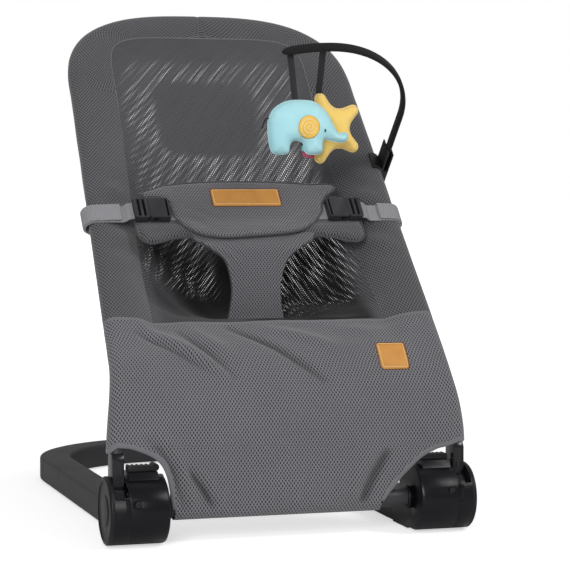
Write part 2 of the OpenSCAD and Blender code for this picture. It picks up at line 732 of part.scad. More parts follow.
// Right half of the flap's outline, from the top centre down, clear of the buckle
function flap_half() =
  let (tip = buckle_x + 16, low = buckle_x - 29)
    [[0, flap_up], [0.35 * tip, flap_up - 1], [0.92 * tip, flap_up - 7], [tip, flap_up - 15],
      [buckle_x - 2, buckle_h / 2 + 2.5], [buckle_x - 6, -2], [low, 12 - flap_down],
      [0.77 * low, -flap_down]];

module belt_flap() {
  right = flap_half();
  left = [for (i = [len(right) - 1:-1:1]) [-right[i][0], right[i][1]]];
  color("#58585c") placed() on_back(belt_s, flap_lift) linear_extrude(flap_t)
    offset(r = 4, $fn = 32) offset(delta = -4) polygon(concat(right, left));
}

module rounded_plate(w, h, t, r) {
  linear_extrude(t) union() {
    square([w - 2 * r, h], center = true);
    square([w, h - 2 * r], center = true);
    for (x = [-1, 1], y = [-1, 1])
      translate([x * (w / 2 - r), y * (h / 2 - r)]) circle(r = r, $fn = 32);
  }
}

module belt_patch() {
  color("#d3903c") placed() on_back(belt_s + flap_up - 29, patch_lift)
    rounded_plate(0.87 * buckle_x, 1.12 * web_w, patch_t, 2.5);
}

module apron_patch() {
  side = 36;
  a = side_turn(patch_s);
  color("#d3903c") placed() translate(on_seat(tube_x(patch_s) - 1.6 * side, patch_s, cover_r + 0.9))
    rotate([90 - a, 0, 0]) rounded_plate(side, side, patch_t, side / 7);
}

module buckle_body(side) {
  shell = 1.8;
  depth = half_l - 4;
  color("#17171a") handed(side) on_back(belt_s, buckle_lift) difference() {
    translate([buckle_x + half_l / 2 + 2, 0, 0]) rounded_plate(half_l + 4, buckle_h, buckle_t, 3);
    // mouth and the two side windows of the catches
    translate([buckle_x + half_l + 4 - depth, -buckle_h / 2 + shell + 1, shell])
      cube([depth + 1, buckle_h - 2 * shell - 2, buckle_t - 2 * shell]);
    for (y = [-1, 1]) translate([buckle_x + half_l - 6, y * buckle_h / 2 - 4, shell])
      cube([5.5, 8, buckle_t - 2 * shell]);
    // slot of the belt webbing
    translate([buckle_x + 2, -web_w / 2 - 0.8, -1]) cube([2.4, web_w + 1.6, buckle_t + 2]);
  }
}

module buckle_tongue(side) {
  shell = 1.8;
  inner_h = buckle_h - 2 * shell - 2 - 1.2;
  t = buckle_t - 2 * shell - 0.8;
  x0 = buckle_x + half_l + 4 + slip_gap;
  color("#17171a") handed(side) on_back(belt_s, buckle_lift) difference() {
    union() {
      translate([x0 + (half_l - 4) / 2, 0, 0]) rounded_plate(half_l - 4, buckle_h, buckle_t, 3);
      // two sprung catches and a centre guide
      for (y = [-1, 1]) translate([x0 - 12, y * (inner_h / 2 - 1.6) - 1.6, shell + 0.4]) cube([13, 3.2, t]);
      translate([x0 - 13, -2, shell + 0.4]) cube([14, 4, t]);
    }
    // slots either side of the webbing bar
    for (x = [4, 10.4]) translate([x0 + x, -web_w / 2 - 0.8, -1]) cube([3, web_w + 1.6, buckle_t + 2]);
  }
}

function arc_points(c, r, a0, a1, steps) = [
  for (i = [0:steps]) let (a = lerp(a0, a1, i / steps)) c + r * [cos(a), sin(a)]];
function reversed(points) = [for (i = [len(points) - 1:-1:0]) points[i]];

// Webbing from the tongue's bar out over the tube and back behind it
module strap(side) {
  loop_r = cover_r + 1 + web_t;
  x0 = buckle_x + buckle_l + slip_gap + 0.4;
  edge_x = tube_x(belt_s);
  end_x = edge_x - 22;
  bar_lift = buckle_lift + 3;
  color("#8e8e92") handed(side) on_back(belt_s, 0) rotate([90, 0, 0]) translate([0, 0, -web_w / 2])
    linear_extrude(web_w) polygon(concat(
      [[x0, bar_lift + web_t], [x0 + 12.3, loop_r]],
      arc_points([edge_x, 0], loop_r, 90, -90, 24),
      [[end_x, -loop_r], [end_x, -loop_r + web_t]],
      arc_points([edge_x, 0], loop_r - web_t, -90, 90, 24),
      [[x0 + 12, loop_r - web_t], [x0, bar_lift]]));
}

// ---- Toy bar ---------------------------------------------------------------

// Local frame at the clip: X across, Y out of the seat, Z down along the frame tube
module at_clip() { placed() translate(on_seat(0, clip_s, 0)) rotate([recline + 90, 0, 0]) children(); }

module toy_clip() {
  socket_x0 = band_x - band_t / 2 - 2.2;
  socket_x1 = band_x + band_t / 2 + 2;
  color("#151517") at_clip() translate([0, 0, -clip_w / 2]) linear_extrude(clip_w) difference() {
    union() {
      difference() {
        translate([clip_x, 0]) circle(r = clip_out, $fn = 64);
        translate([clip_x, 0]) circle(r = clip_in, $fn = 64);
        // open inner side, clear of the cover's border
        translate([clip_x - 2 * clip_out - 2, -2 * clip_out]) square([2 * clip_out, 4 * clip_out]);
      }
      // socket of the band
      polygon([[socket_x0, -20], [socket_x1 - 3, -28], [socket_x1, -24], [socket_x1, 34], [socket_x0, 39]]);
    }
    translate([band_x - band_t / 2 - 0.15, 4]) square([band_t + 0.3, 60]);
  }
}

// Upright, shoulder and drooping end of the band, one face at the offset given
function band_side(off) =
  let (cx = band_x - band_r, cy = band_rise - band_r, end_a = asin((cx - band_end_x) / droop_r))
    concat(
      [[band_x + off, 4.5]],
      arc_points([cx, cy], band_r + off, 0, 90, 30),
      arc_points([cx, band_rise - droop_r], droop_r + off, 90 + end_a / 8, 90 + end_a, 7));

module toy_band() {
  half = band_t / 2;
  color("#222224") at_clip() translate([0, 0, -band_w / 2]) linear_extrude(band_w)
    polygon(concat(band_side(half), reversed(band_side(-half))));
}

// Underside of the band above a toy, in the part's axes before placing
function band_height(x) = let (cx = band_x - band_r)
  band_rise - droop_r + sqrt(pow(droop_r, 2) - pow(cx - x, 2)) - band_t / 2;
function band_point(x) = let (h = x < band_x - band_r ? band_height(x) : band_rise - band_t / 2)
  on_seat(x, clip_s, h);

// Top of a toy's ribbon, just clear of the sloping underside
function ribbon_top(x) =
  let (slope = max(0, band_x - band_r - x) / droop_r)
    band_point(x) - [0, 0, 1.3 + 0.75 * ribbon_w * slope];

module ribbon(x, lean, length) {
  color("#111113") placed() translate(ribbon_top(x)) rotate([lean, 0, 0])
    translate([-ribbon_w / 2, -0.6, -length]) cube([ribbon_w, 1.2, length]);
}
module elephant_ribbon() { ribbon(elephant_x, elephant_lean, elephant_ribbon_l); }
module star_ribbon() { ribbon(star_x, star_lean, star_ribbon_l); }

// Centre of each toy, hanging clear in front of and behind the band
function ribbon_end(x, lean, length) = ribbon_top(x) + length * [0, sin(lean), -cos(lean)];
elephant_k = elephant_l / 98;
elephant_c = ribbon_end(elephant_x, elephant_lean, elephant_ribbon_l)
  + elephant_k * [15.8, 0, -31.6];
star_c = ribbon_end(star_x, star_lean, star_ribbon_l)
  + [star_reach * sin(star_tilt), 0, -star_reach * cos(star_tilt) - 0.5];

module ball(x, z, r, squash_y) { translate([x, 0, z]) scale([1, squash_y, 1]) sphere(r = r, $fn = 14); }

module elephant_body() {
  flat = elephant_t / 54;
  color("#8fd0d8") placed() translate(elephant_c) scale(elephant_k) union() {
    hull() { ball(-24, 4, 25, flat * 1.08); ball(-7, 4, 27, flat); }
    hull() { ball(-7, 4, 27, flat); ball(8, 3, 24, flat * 1.08); }
    hull() { ball(-36, -4, 13, 0.9); ball(-36.5, -21, 11.5, 0.95); }
    hull() { ball(3, -6, 12, 0.9); ball(4, -22, 10.5, 0.95); }
    hull() { ball(17, 0, 14, 0.85); ball(31, -15, 8.5, 1); }
    hull() { ball(31, -15, 8.5, 1); ball(44, -15.5, 5.5, 1); }
  }
}

module elephant_ears() {
  color("#e8c34c") placed() for (y = [-1, 1])
    translate(elephant_c + [0, y * (elephant_t / 2 + 0.9), 0]) rotate([90, 0, 0])
      cylinder(h = 1.6, r = 13.5 * elephant_k, center = true, $fn = 48);
}

module elephant_eyes() {
  color("#202028") placed() for (y = [-1, 1])
    translate(elephant_c + [18.5 * elephant_k, y * (elephant_t / 2 * 0.86 + 0.6), -4.5 * elephant_k])
      rotate([90, 0, 0]) cylinder(h = 1, r = 1.8, center = true, $fn = 24);
}

module elephant_tail() {
  color("#111113") placed() translate(elephant_c + elephant_k * [-47, 0, 6]) rotate([0, 28, 0])
    translate([-0.3, 0, -17]) cylinder(h = 20, r = 1.1, center = true, $fn = 12);
}

// Outline of a five-pointed star with blunt tips, as a radius for each angle
function star_radius(a, tip) =
  let (f = abs((a + 36) % 72 - 36), valley = tip * 0.56)
    min(star_reach, tip * valley * sin(36) / (tip * sin(f) + valley * sin(36 - f)));

module star_body() {
  rings = [for (v = [-75:25:75])
    [for (k = [0:39]) let (a = k * 9, r = star_radius(a, star_tip) * (0.55 + 0.45 * cos(v)))
      [-r * sin(a + star_tilt), star_t / 2 * sin(v) / sin(75), r * cos(a + star_tilt)]]];
  color("#edc63f") placed() translate(star_c) ring_solid(rings);
}

module star_tags() {
  tones = ["#101012", "#58c4cc", "#b04468"];
  tag = [0.15 * star_h, 1.4, 0.075 * star_h];
  for (k = [0:2]) color(tones[k]) placed()
    translate(star_c + star_h * [0.0094 * k - 0.261, 0, -0.25 - 0.0825 * k])
      rotate([0, 12, 0]) translate([-tag[0] - 2, -tag[1] / 2, -tag[2] / 2]) cube(tag);
}

floor_bar();
foot_pads();
cross_tube();
hub_screws();
hub_housing("left");  // left_hub_housing
hub_housing("right");  // right_hub_housing
hub_ring("left");  // left_hub_ring
hub_ring("right");  // right_hub_ring
hub_cap("left");  // left_hub_cap
hub_cap("right");  // right_hub_cap
tube_collar("left");  // left_tube_collar
tube_collar("right");  // right_tube_collar
release_slider("left");  // left_release_slider
release_slider("right");  // right_release_slider
lock_pin("left");  // left_lock_pin
lock_pin("right");  // right_lock_pin
pin_spring("left");  // left_pin_spring
pin_spring("right");  // right_pin_spring
arm("left");  // left_arm
arm("right");  // right_arm
lock_plate("left");  // left_lock_plate
lock_plate("right");  // right_lock_plate
seat_frame_tube();
border("left");  // left_border
border("right");  // right_border
back_panel();
apron();
apron_hem();
crotch_strip();
belt_pad();
belt_webbing();
belt_flap();
belt_patch();
apron_patch();
buckle_body("left");  // left_buckle_body
buckle_body("right");  // right_buckle_body
buckle_tongue("left");  // left_buckle_tongue
buckle_tongue("right");  // right_buckle_tongue
strap("left");  // left_strap
strap("right");  // right_strap
toy_clip();
toy_band();
elephant_body();
elephant_ears();
elephant_eyes();
elephant_tail();
elephant_ribbon();
star_body();
star_tags();
star_ribbon();
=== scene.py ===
# Folding infant bouncer seat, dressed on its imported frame. Metres, +Z up, X across, seat faces -Y;
# left and right are as seen from the front, so that left is at -X.
import json
import math

import bmesh
import bpy
from mathutils import Matrix, Vector, noise
from mathutils.geometry import delaunay_2d_cdt
from mathutils.kdtree import KDTree


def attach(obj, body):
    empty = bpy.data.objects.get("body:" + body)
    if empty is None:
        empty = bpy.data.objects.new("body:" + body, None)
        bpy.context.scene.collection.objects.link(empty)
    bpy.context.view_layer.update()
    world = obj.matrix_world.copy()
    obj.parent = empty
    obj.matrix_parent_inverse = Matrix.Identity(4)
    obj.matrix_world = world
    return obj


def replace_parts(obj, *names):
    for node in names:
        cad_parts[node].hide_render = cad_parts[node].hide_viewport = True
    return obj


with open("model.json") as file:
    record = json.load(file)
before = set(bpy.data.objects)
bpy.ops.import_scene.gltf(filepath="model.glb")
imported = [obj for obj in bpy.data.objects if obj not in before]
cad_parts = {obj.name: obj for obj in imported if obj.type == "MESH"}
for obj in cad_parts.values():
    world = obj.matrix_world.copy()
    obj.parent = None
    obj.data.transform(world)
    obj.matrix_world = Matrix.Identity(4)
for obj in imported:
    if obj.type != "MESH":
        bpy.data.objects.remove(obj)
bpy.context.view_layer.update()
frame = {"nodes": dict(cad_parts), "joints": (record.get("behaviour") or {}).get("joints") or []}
nodes = frame["nodes"]
joints = {joint["name"]: joint for joint in frame["joints"]}
hub_axis = Vector(joints["seat_recline"]["pos_m"])

# ---- Camera and lamps --------------------------------------------------------
# A three-quarter view from the front left, a little above the floor, with a long lens.
# Three soft boxes and a pale room light the seat, in front of a white backdrop.
camera_data = bpy.data.cameras.new("camera")
camera_data.lens = 130.54
camera_data.sensor_width = 36
camera_data.clip_end = 50
camera = bpy.data.objects.new("camera", camera_data)
bpy.context.scene.collection.objects.link(camera)
camera.location = Vector((-0.6738, hub_axis.y - 2.239, 0.4129))
aim = Vector((0.0531, hub_axis.y + 0.1955, 0.2771)) - camera.location
camera.rotation_euler = aim.to_track_quat("-Z", "Y").to_euler()
bpy.context.scene.camera = camera
bpy.context.scene.view_settings.view_transform = "Standard"


def soft_box(name, place, size, watts):
    """A flat lamp turned towards the middle of the seat."""
    data = bpy.data.lights.new(name, "AREA")
    data.shape = "RECTANGLE"
    data.size, data.size_y = size
    data.energy = watts
    lamp = bpy.data.objects.new(name, data)
    bpy.context.scene.collection.objects.link(lamp)
    lamp.location = place
    lamp.rotation_euler = (Vector((0, 0, 0.28)) - lamp.location).to_track_quat("-Z", "Y").to_euler()


soft_box("key", Vector((-1.2, -2.6, 1.15)), (1.0, 1.0), 38)
soft_box("fill", Vector((1.7, -1.7, 2.0)), (0.8, 0.8), 22)
soft_box("top", Vector((0.1, 0.6, 2.4)), (1.6, 1.6), 4)


def tree_node(tree, kind, **settings):
    """A new node: a setting is the value of an input where one has its name, or else a property."""
    made = tree.nodes.new(kind)
    for key, value in settings.items():
        label = key.replace("_", " ")
        if label in made.inputs:
            made.inputs[label].default_value = value
        else:
            setattr(made, key, value)
    return made


def link(tree, *pairs):
    """Joins sockets, each pair from an output to an input."""
    for source, target in pairs:
        tree.links.new(source, target)


room = bpy.data.worlds.new("room")
bpy.context.scene.world = room
room.use_nodes = True
room.node_tree.nodes.clear()
room_light = tree_node(room.node_tree, "ShaderNodeBackground", Color=(1, 1, 1, 1), Strength=0.34)
backdrop = tree_node(room.node_tree, "ShaderNodeBackground", Color=(1, 1, 1, 1))
rays = tree_node(room.node_tree, "ShaderNodeLightPath")
seen = tree_node(room.node_tree, "ShaderNodeMath", operation="MAXIMUM")
pick = tree_node(room.node_tree, "ShaderNodeMixShader")
sky = tree_node(room.node_tree, "ShaderNodeOutputWorld")
link(
    room.node_tree,
    (rays.outputs["Is Camera Ray"], seen.inputs[0]),
    (rays.outputs["Is Transmission Ray"], seen.inputs[1]),
    (seen.outputs[0], pick.inputs[0]),
    (room_light.outputs[0], pick.inputs[1]),
    (backdrop.outputs[0], pick.inputs[2]),
    (pick.outputs[0], sky.inputs[0]))

# ---- Floor -------------------------------------------------------------------
# A plain white floor, far wider than the view. It glows more with the distance from the
# seat, so that it runs into the white backdrop and still keeps the seat's shadow.


class Shader:
    """A material with its Principled shader, and short ways to add and join nodes."""

    def __init__(self, name, color, roughness, **values):
        self.material = bpy.data.materials.new(name)
        self.material.use_nodes = True
        self.tree = self.material.node_tree
        self.surface = self.tree.nodes["Principled BSDF"]
        self.surface.inputs["Base Color"].default_value = (*color, 1)
        self.surface.inputs["Roughness"].default_value = roughness
        for key, value in values.items():
            self.surface.inputs[key.replace("_", " ")].default_value = value

    def node(self, kind, **settings):
        """A new node in the material's tree."""
        return tree_node(self.tree, kind, **settings)

    def join(self, source, target):
        """Joins an output to an input."""
        self.tree.links.new(source, target)

    def feed(self, name, source):
        """Joins a socket to one of the Principled shader's own."""
        self.join(source, self.surface.inputs[name])

    def combined(self, operation, *values):
        """The result of one operation on sockets and plain numbers."""
        made = self.node("ShaderNodeMath", operation=operation)
        for socket, value in zip(made.inputs, values):
            if isinstance(value, (int, float)):
                socket.default_value = value
            else:
                self.join(value, socket)
        return made.outputs[0]

    def ranged(self, source, kind="LINEAR", **limits):
        """A value carried from one range to another; limits left out are 0 and 1."""
        made = self.node("ShaderNodeMapRange", interpolation_type=kind, **limits)
        self.join(source, made.inputs["Value"])
        return made.outputs[0]

    def scaled(self, color, amount):
        """A plain colour, or the colour of a socket, made lighter or darker by a value."""
        made = self.node("ShaderNodeVectorMath", operation="SCALE")
        if isinstance(color, tuple):
            made.inputs[0].default_value = color
        else:
            self.join(color, made.inputs[0])
        self.join(amount, made.inputs["Scale"])
        return made.outputs[0]

    def mixed(self, first, second, share):
        """Two colours mixed by a value."""
        made = self.node("ShaderNodeMix", data_type="RGBA")
        made.inputs["A"].default_value = (*first, 1)
        made.inputs["B"].default_value = (*second, 1)
        self.join(share, made.inputs["Factor"])
        return made.outputs["Result"]

    def place(self):
        """Where a point lies on the piece, in metres."""
        return self.node("ShaderNodeTexCoord").outputs["Object"]

    def clouds(self, per_metre, detail):
        """Unevenness that stays in its place on the piece, from 0 to 1."""
        made = self.node("ShaderNodeTexNoise", Scale=per_metre, Detail=detail)
        self.join(self.place(), made.inputs["Vector"])
        return made.outputs["Fac"]

    def relief(self, height, depth):
        """Small bumps in the surface, depth in metres."""
        made = self.node("ShaderNodeBump", Distance=depth)
        self.join(height, made.inputs["Height"])
        self.feed("Normal", made.outputs[0])


floor_paint = Shader("floor_white", (0.86, 0.86, 0.86), 0.9, Emission_Color=(1, 1, 1, 1))
from_seat = floor_paint.node("ShaderNodeVectorMath", operation="LENGTH")
floor_paint.join(floor_paint.place(), from_seat.inputs[0])
glow = floor_paint.ranged(
    from_seat.outputs["Value"], "SMOOTHSTEP", From_Min=0.5, From_Max=1.6, To_Min=0.58, To_Max=1.0)
rays = floor_paint.node("ShaderNodeLightPath")
floor_paint.feed("Emission Strength", floor_paint.combined("MULTIPLY", rays.outputs["Is Camera Ray"], glow))

floor_mesh = bpy.data.meshes.new("studio_floor")
floor_mesh.from_pydata([(-30, -30, 0), (30, -30, 0), (30, 30, 0), (-30, 30, 0)], [], [(0, 1, 2, 3)])
floor_mesh.materials.append(floor_paint.material)
studio_floor = bpy.data.objects.new("studio_floor", floor_mesh)
bpy.context.scene.collection.objects.link(studio_floor)

# ---- Floor bar ---------------------------------------------------------------
# The U-shaped foot of the seat: a hollow moulded bar with chamfered edges, dark
# grey, finely grained, with rails that lean outwards a little towards the bow.


def group(name, values, results):
    """A new shader node group that takes named numbers, with their usual values, and puts numbers out."""
    made = bpy.data.node_groups.new(name, "ShaderNodeTree")
    for label, value in values.items():
        made.interface.new_socket(label, in_out="INPUT", socket_type="NodeSocketFloat").default_value = value
    for label in results:
        made.interface.new_socket(label, in_out="OUTPUT", socket_type="NodeSocketFloat")
    return made, made.nodes.new("NodeGroupInput"), made.nodes.new("NodeGroupOutput")


# Fine grain of moulded plastic: small bumps, a slow change of tone, and rubbed patches
grain, grain_in, grain_out = group(
    "moulded_grain", {"Grain per m": 1400.0, "Wear per m": 18.0}, ("Height", "Tone", "Wear"))
place = tree_node(grain, "ShaderNodeTexCoord")
fine = tree_node(grain, "ShaderNodeTexNoise", Detail=3)
slow = tree_node(grain, "ShaderNodeTexNoise", Detail=5, Roughness=0.65)
tone = tree_node(grain, "ShaderNodeMapRange", To_Min=0.86, To_Max=1.14)
rub = tree_node(grain, "ShaderNodeMapRange", From_Min=0.52, From_Max=0.74)
link(
    grain,
    (place.outputs["Object"], fine.inputs["Vector"]),
    (place.outputs["Object"], slow.inputs["Vector"]),
    (grain_in.outputs["Grain per m"], fine.inputs["Scale"]),
    (grain_in.outputs["Wear per m"], slow.inputs["Scale"]),
    (slow.outputs["Fac"], tone.inputs["Value"]),
    (slow.outputs["Fac"], rub.inputs["Value"]),
    (fine.outputs["Fac"], grain_out.inputs["Height"]),
    (tone.outputs[0], grain_out.inputs["Tone"]),
    (rub.outputs[0], grain_out.inputs["Wear"]))


def plastic(name, color, roughness, bump=0.00006, worn=0.08, **values):
    """Moulded plastic with grain in its gloss and its surface, duller by worn where it is rubbed."""
    made = Shader(name, color, roughness, **values)
    mould = made.node("ShaderNodeGroup", node_tree=grain)
    made.feed("Base Color", made.scaled(color, mould.outputs["Tone"]))
    made.feed("Roughness", made.ranged(mould.outputs["Wear"], To_Min=roughness, To_Max=roughness + worn))
    made.relief(mould.outputs["Height"], bump)
    return made.material


def new_object(name, mesh, material, body):
    """A finished mesh as a piece that moves with one body."""
    made = bpy.data.objects.new(name, mesh)
    bpy.context.scene.collection.objects.link(made)
    mesh.materials.clear()
    mesh.materials.append(material)
    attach(made, body)
    return made


def settled(obj, angle):
    """Turns an object's modifiers into plain mesh and shades it smooth below the angle in degrees."""
    bpy.context.view_layer.update()
    evaluated = obj.evaluated_get(bpy.context.evaluated_depsgraph_get())
    mesh = bpy.data.meshes.new_from_object(evaluated)
    obj.modifiers.clear()
    obj.data = mesh
    mesh.polygons.foreach_set("use_smooth", [True] * len(mesh.polygons))
    mesh.set_sharp_from_angle(angle=math.radians(angle))


def outward(mesh):
    """Turns all faces of a closed mesh outwards."""
    work = bmesh.new()
    work.from_mesh(mesh)
    bmesh.ops.recalc_face_normals(work, faces=work.faces)
    work.to_mesh(mesh)
    work.free()
    return mesh


def lofted(name, rings, closed=False):
    """A skin over rings of points, capped at its two ends unless it runs back into itself."""
    sides, count = len(rings[0]), len(rings)
    faces = []
    for i in range(count if closed else count - 1):
        for k in range(sides):
            a, b = i * sides + k, i * sides + (k + 1) % sides
            c, d = ((i + 1) % count) * sides + k, ((i + 1) % count) * sides + (k + 1) % sides
            faces.append((a, b, d, c))
    if not closed:
        faces.append(tuple(reversed(range(sides))))
        faces.append(tuple(range((count - 1) * sides, count * sides)))
    mesh = bpy.data.meshes.new(name)
    mesh.from_pydata([p for ring in rings for p in ring], [], faces)
    return outward(mesh)


bar_w, bar_h, bar_z, bar_edge = 0.041, 0.031, 0.0015, 0.0035
rail_x, rail_splay = 0.168, 0.009
bow_y, bow_reach = 0.497, 0.1612
bar_start, bar_straight = 0.062, 0.090
lean_steps, bend_steps = 13, 96

bar_line = [Vector((rail_x, bar_start, 0)), Vector((rail_x, bar_straight, 0))]
for k in range(1, lean_steps):
    along = k / lean_steps
    bar_line.append(Vector((rail_x + rail_splay * along, bar_straight + (bow_y - bar_straight) * along, 0)))
for k in range(bend_steps + 1):
    a = math.pi * k / bend_steps
    bar_line.append(Vector(((rail_x + rail_splay) * math.cos(a), bow_y + bow_reach * math.sin(a), 0)))
bar_line += [Vector((-p.x, p.y, 0)) for p in reversed(bar_line[:lean_steps + 1])]
bar_section = []
for corner_x, top, start in ((-1, False, 180), (1, False, 270), (1, True, 0), (-1, True, 90)):
    cx = corner_x * (bar_w / 2 - bar_edge)
    cz = bar_z + (bar_h - bar_edge if top else bar_edge)
    for k in range(4):
        a = math.radians(start + 30 * k)
        bar_section.append((cx + bar_edge * math.cos(a), cz + bar_edge * math.sin(a)))
rings = []
for before, p, after in zip(bar_line[:1] + bar_line, bar_line, bar_line[1:] + bar_line[-1:]):
    ahead = (after - before).normalized()
    across = Vector((ahead.y, -ahead.x, 0))
    rings.append([p + across * u + Vector((0, hub_axis.y, w)) for u, w in bar_section])

bar_plastic = plastic("bar_plastic", (0.030, 0.030, 0.033), 0.5, worn=0.1, Specular_IOR_Level=0.4)
floor_bar = new_object("floor_bar_moulding", lofted("floor_bar_moulding", rings), bar_plastic, "base")
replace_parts(floor_bar, "floor_bar")
settled(floor_bar, 40)

# ---- Foot pads ---------------------------------------------------------------
# Four round pads of matt black rubber, glued under the bar to keep the seat from
# sliding on the floor.


def finished(name, material):
    """Gives a solid that stays as it is its own material."""
    nodes[name].data.materials.clear()
    nodes[name].data.materials.append(material)


finished("foot_pads", plastic("pad_rubber", (0.02, 0.02, 0.02), 0.85))

# ---- Hubs --------------------------------------------------------------------
# Each hub is a fixed inner drum with a latch block and a release slider, an outer ring with
# the window that the arm swings in, and an end cap. All of it, the arms and the collars on
# the cross tube are moulded in glass-filled black plastic with soft edges.


def eased(node, name, material, body, width):
    """A copy of a solid with its hard edges broken by a small round, in place of the solid."""
    mesh = nodes[node].data.copy()
    work = bmesh.new()
    work.from_mesh(mesh)
    bmesh.ops.remove_doubles(work, verts=work.verts, dist=2e-6)
    bmesh.ops.dissolve_limit(
        work, angle_limit=math.radians(0.6), verts=work.verts, edges=work.edges, delimit={"NORMAL"})
    work.to_mesh(mesh)
    work.free()
    mesh.name = name
    for old in ("custom_normal", "sharp_face", "sharp_edge"):
        if old in mesh.attributes:
            mesh.attributes.remove(mesh.attributes[old])
    made = new_object(name, mesh, material, body)
    edge = made.modifiers.new("edge", "BEVEL")
    edge.width = width
    edge.segments = 2
    edge.limit_method = "ANGLE"
    edge.angle_limit = math.radians(38)
    edge.use_clamp_overlap = True
    settled(made, 30)
    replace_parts(made, node)


hub_plastic = plastic(
    "hub_plastic", (0.0036, 0.0036, 0.0056), 0.30, bump=0.00005, worn=0.12, Specular_IOR_Level=0.26)
cap_plastic = plastic(
    "cap_plastic", (0.0085, 0.0085, 0.010), 0.38, bump=0.00005, worn=0.12, Specular_IOR_Level=0.28)
arm_plastic = plastic(
    "arm_plastic", (0.0045, 0.0045, 0.0065), 0.22, bump=0.00003, worn=0.08, Specular_IOR_Level=0.5)
trigger_plastic = plastic("trigger_plastic", (0.006, 0.006, 0.007), 0.42, bump=0.00004, Specular_IOR_Level=0.3)
for side in ("left", "right"):
    eased(f"{side}_hub_housing", f"{side}_hub_drum", hub_plastic, "base", 0.0007)
    eased(f"{side}_hub_ring", f"{side}_hub_outer_ring", hub_plastic, "base", 0.0006)
    eased(f"{side}_hub_cap", f"{side}_hub_end_cap", cap_plastic, "base", 0.0005)
    eased(f"{side}_tube_collar", f"{side}_collar_ring", hub_plastic, "base", 0.0004)
    eased(f"{side}_release_slider", f"{side}_slider", trigger_plastic, f"{side}_release", 0.0003)
    eased(f"{side}_arm", f"{side}_folding_arm", arm_plastic, "seat", 0.0008)

# ---- Cover: borders ----------------------------------------------------------
# Two strips of lined spacer mesh, pulled round the frame tube from the knee seam to
# the centre seam at the top, and sewn to the centre panel along their inner edge.

# Places on the cover: x across, s along the frame from the start of its bend, lift in front of its plane
recline = math.radians(46.5)
turn = math.pi / 2 - recline
bend_r, arc_z = 0.146, 0.1054
arc_l = bend_r * turn
seat_l, bow_h, top_seam = 0.668, 0.134, 0.034
shoulder_s, seam_s, knee_s = seat_l - bow_h, seat_l - top_seam, 0.160
arm_x, knee_x, shoulder_x, border_w = 0.201, 0.1905, 0.176, 0.047
shoulder_half = shoulder_x - border_w
bow_power, seam_power = 2 / 2.9, 0.35
pocket_depth, pocket_s, seam_sag = 0.092, 0.254, 0.022
tube_skin, seam_lift = 0.0099, 0.0070
straight_steps, bow_steps, face_steps, wrap_steps, tuck_steps = 46, 60, 12, 14, 3
tuck = 0.004
strap_s = 0.318


def ease(t):
    """From 0 to 1 with a soft start and end."""
    t = max(0.0, min(1.0, t))
    return t * t * (3 - 2 * t)


def mix(a, b, t):
    """From a, at t = 0, to b, at t = 1."""
    return a + (b - a) * t


def on_seat(x, s, lift):
    """Point x across, s along the frame from the start of its bend, lift out of its plane."""
    a = max(0.0, min(1.0, s / arc_l)) * turn
    y = bend_r * (1 - math.cos(a)) + max(0.0, s - arc_l) * math.sin(turn)
    z = arc_z + min(s, 0.0) + bend_r * math.sin(a) + max(0.0, s - arc_l) * math.cos(turn)
    return Vector((x, y - lift * math.cos(a) + hub_axis.y, z + lift * math.sin(a)))


def tube_x(s):
    """Half the width of the frame at its tubes' axes."""
    if s < arc_l:
        return mix(arm_x, knee_x, ease(s / arc_l))
    return mix(knee_x, shoulder_x, max(0.0, min(1.0, (s - arc_l) / (shoulder_s - arc_l))))


def bow_point(t):
    """The tube's axis round the bow, from a shoulder, t = 0, to the top, t = 1."""
    a = math.pi / 2 * ease(t)
    return Vector((shoulder_x * math.cos(a) ** bow_power, shoulder_s + bow_h * math.sin(a) ** bow_power))


def seam_point(t):
    """The panel's seam inside the bow, from a shoulder to the top."""
    a = math.pi / 2 * ease(t)
    return Vector((
        shoulder_half * max(0.0, math.cos(a)) ** seam_power,
        shoulder_s + (seam_s - shoulder_s) * math.sin(a) ** seam_power))


def ripple(x, s, size, seed):
    """Slow unevenness of stretched cloth, from -1 to 1."""
    return noise.noise(Vector((x / size, s / size, seed)))


def sag(s):
    """How far the side seams lie behind the frame."""
    if s > pocket_s:
        return seam_sag * math.cos(math.pi / 2 * min(1, (s - pocket_s) / (seam_s - pocket_s))) ** 1.5
    return seam_sag * mix(0.45, 1, ease((s - knee_s) / (pocket_s - knee_s)))


def border_lift(f, s):
    """Lift of the border's face from its seam, f = 0, to the tube, f = 1."""
    return mix(seam_lift - sag(s), tube_skin, 1 - (1 - f) ** 2.2)


def grid_mesh(name, rows, flip=False, uv=None):
    """A sheet through rows of points, with a map in metres along and across it."""
    across, along = len(rows[0]), len(rows)
    mesh = bpy.data.meshes.new(name)
    faces = []
    for r in range(along - 1):
        for c in range(across - 1):
            i = r * across + c
            quad = (i, i + 1, i + 1 + across, i + across)
            faces.append(tuple(reversed(quad)) if flip else quad)
    mesh.from_pydata([p for row in rows for p in row], [], faces)
    if uv is None:
        us = []
        for row in rows:
            total, line = 0.0, [0.0]
            for a, b in zip(row, row[1:]):
                total += (b - a).length
                line.append(total)
            us.append([u - total / 2 for u in line])
        vs = [[0.0] * across]
        for r in range(1, along):
            vs.append([vs[-1][c] + (rows[r][c] - rows[r - 1][c]).length for c in range(across)])
        mean = [sum(row) / across for row in vs]
        uv = [[(us[r][c], mean[r]) for c in range(across)] for r in range(along)]
    layer = mesh.uv_layers.new(name="cloth")
    flat = [q for row in uv for q in row]
    for loop in mesh.loops:
        layer.data[loop.index].uv = flat[loop.vertex_index]
    return mesh


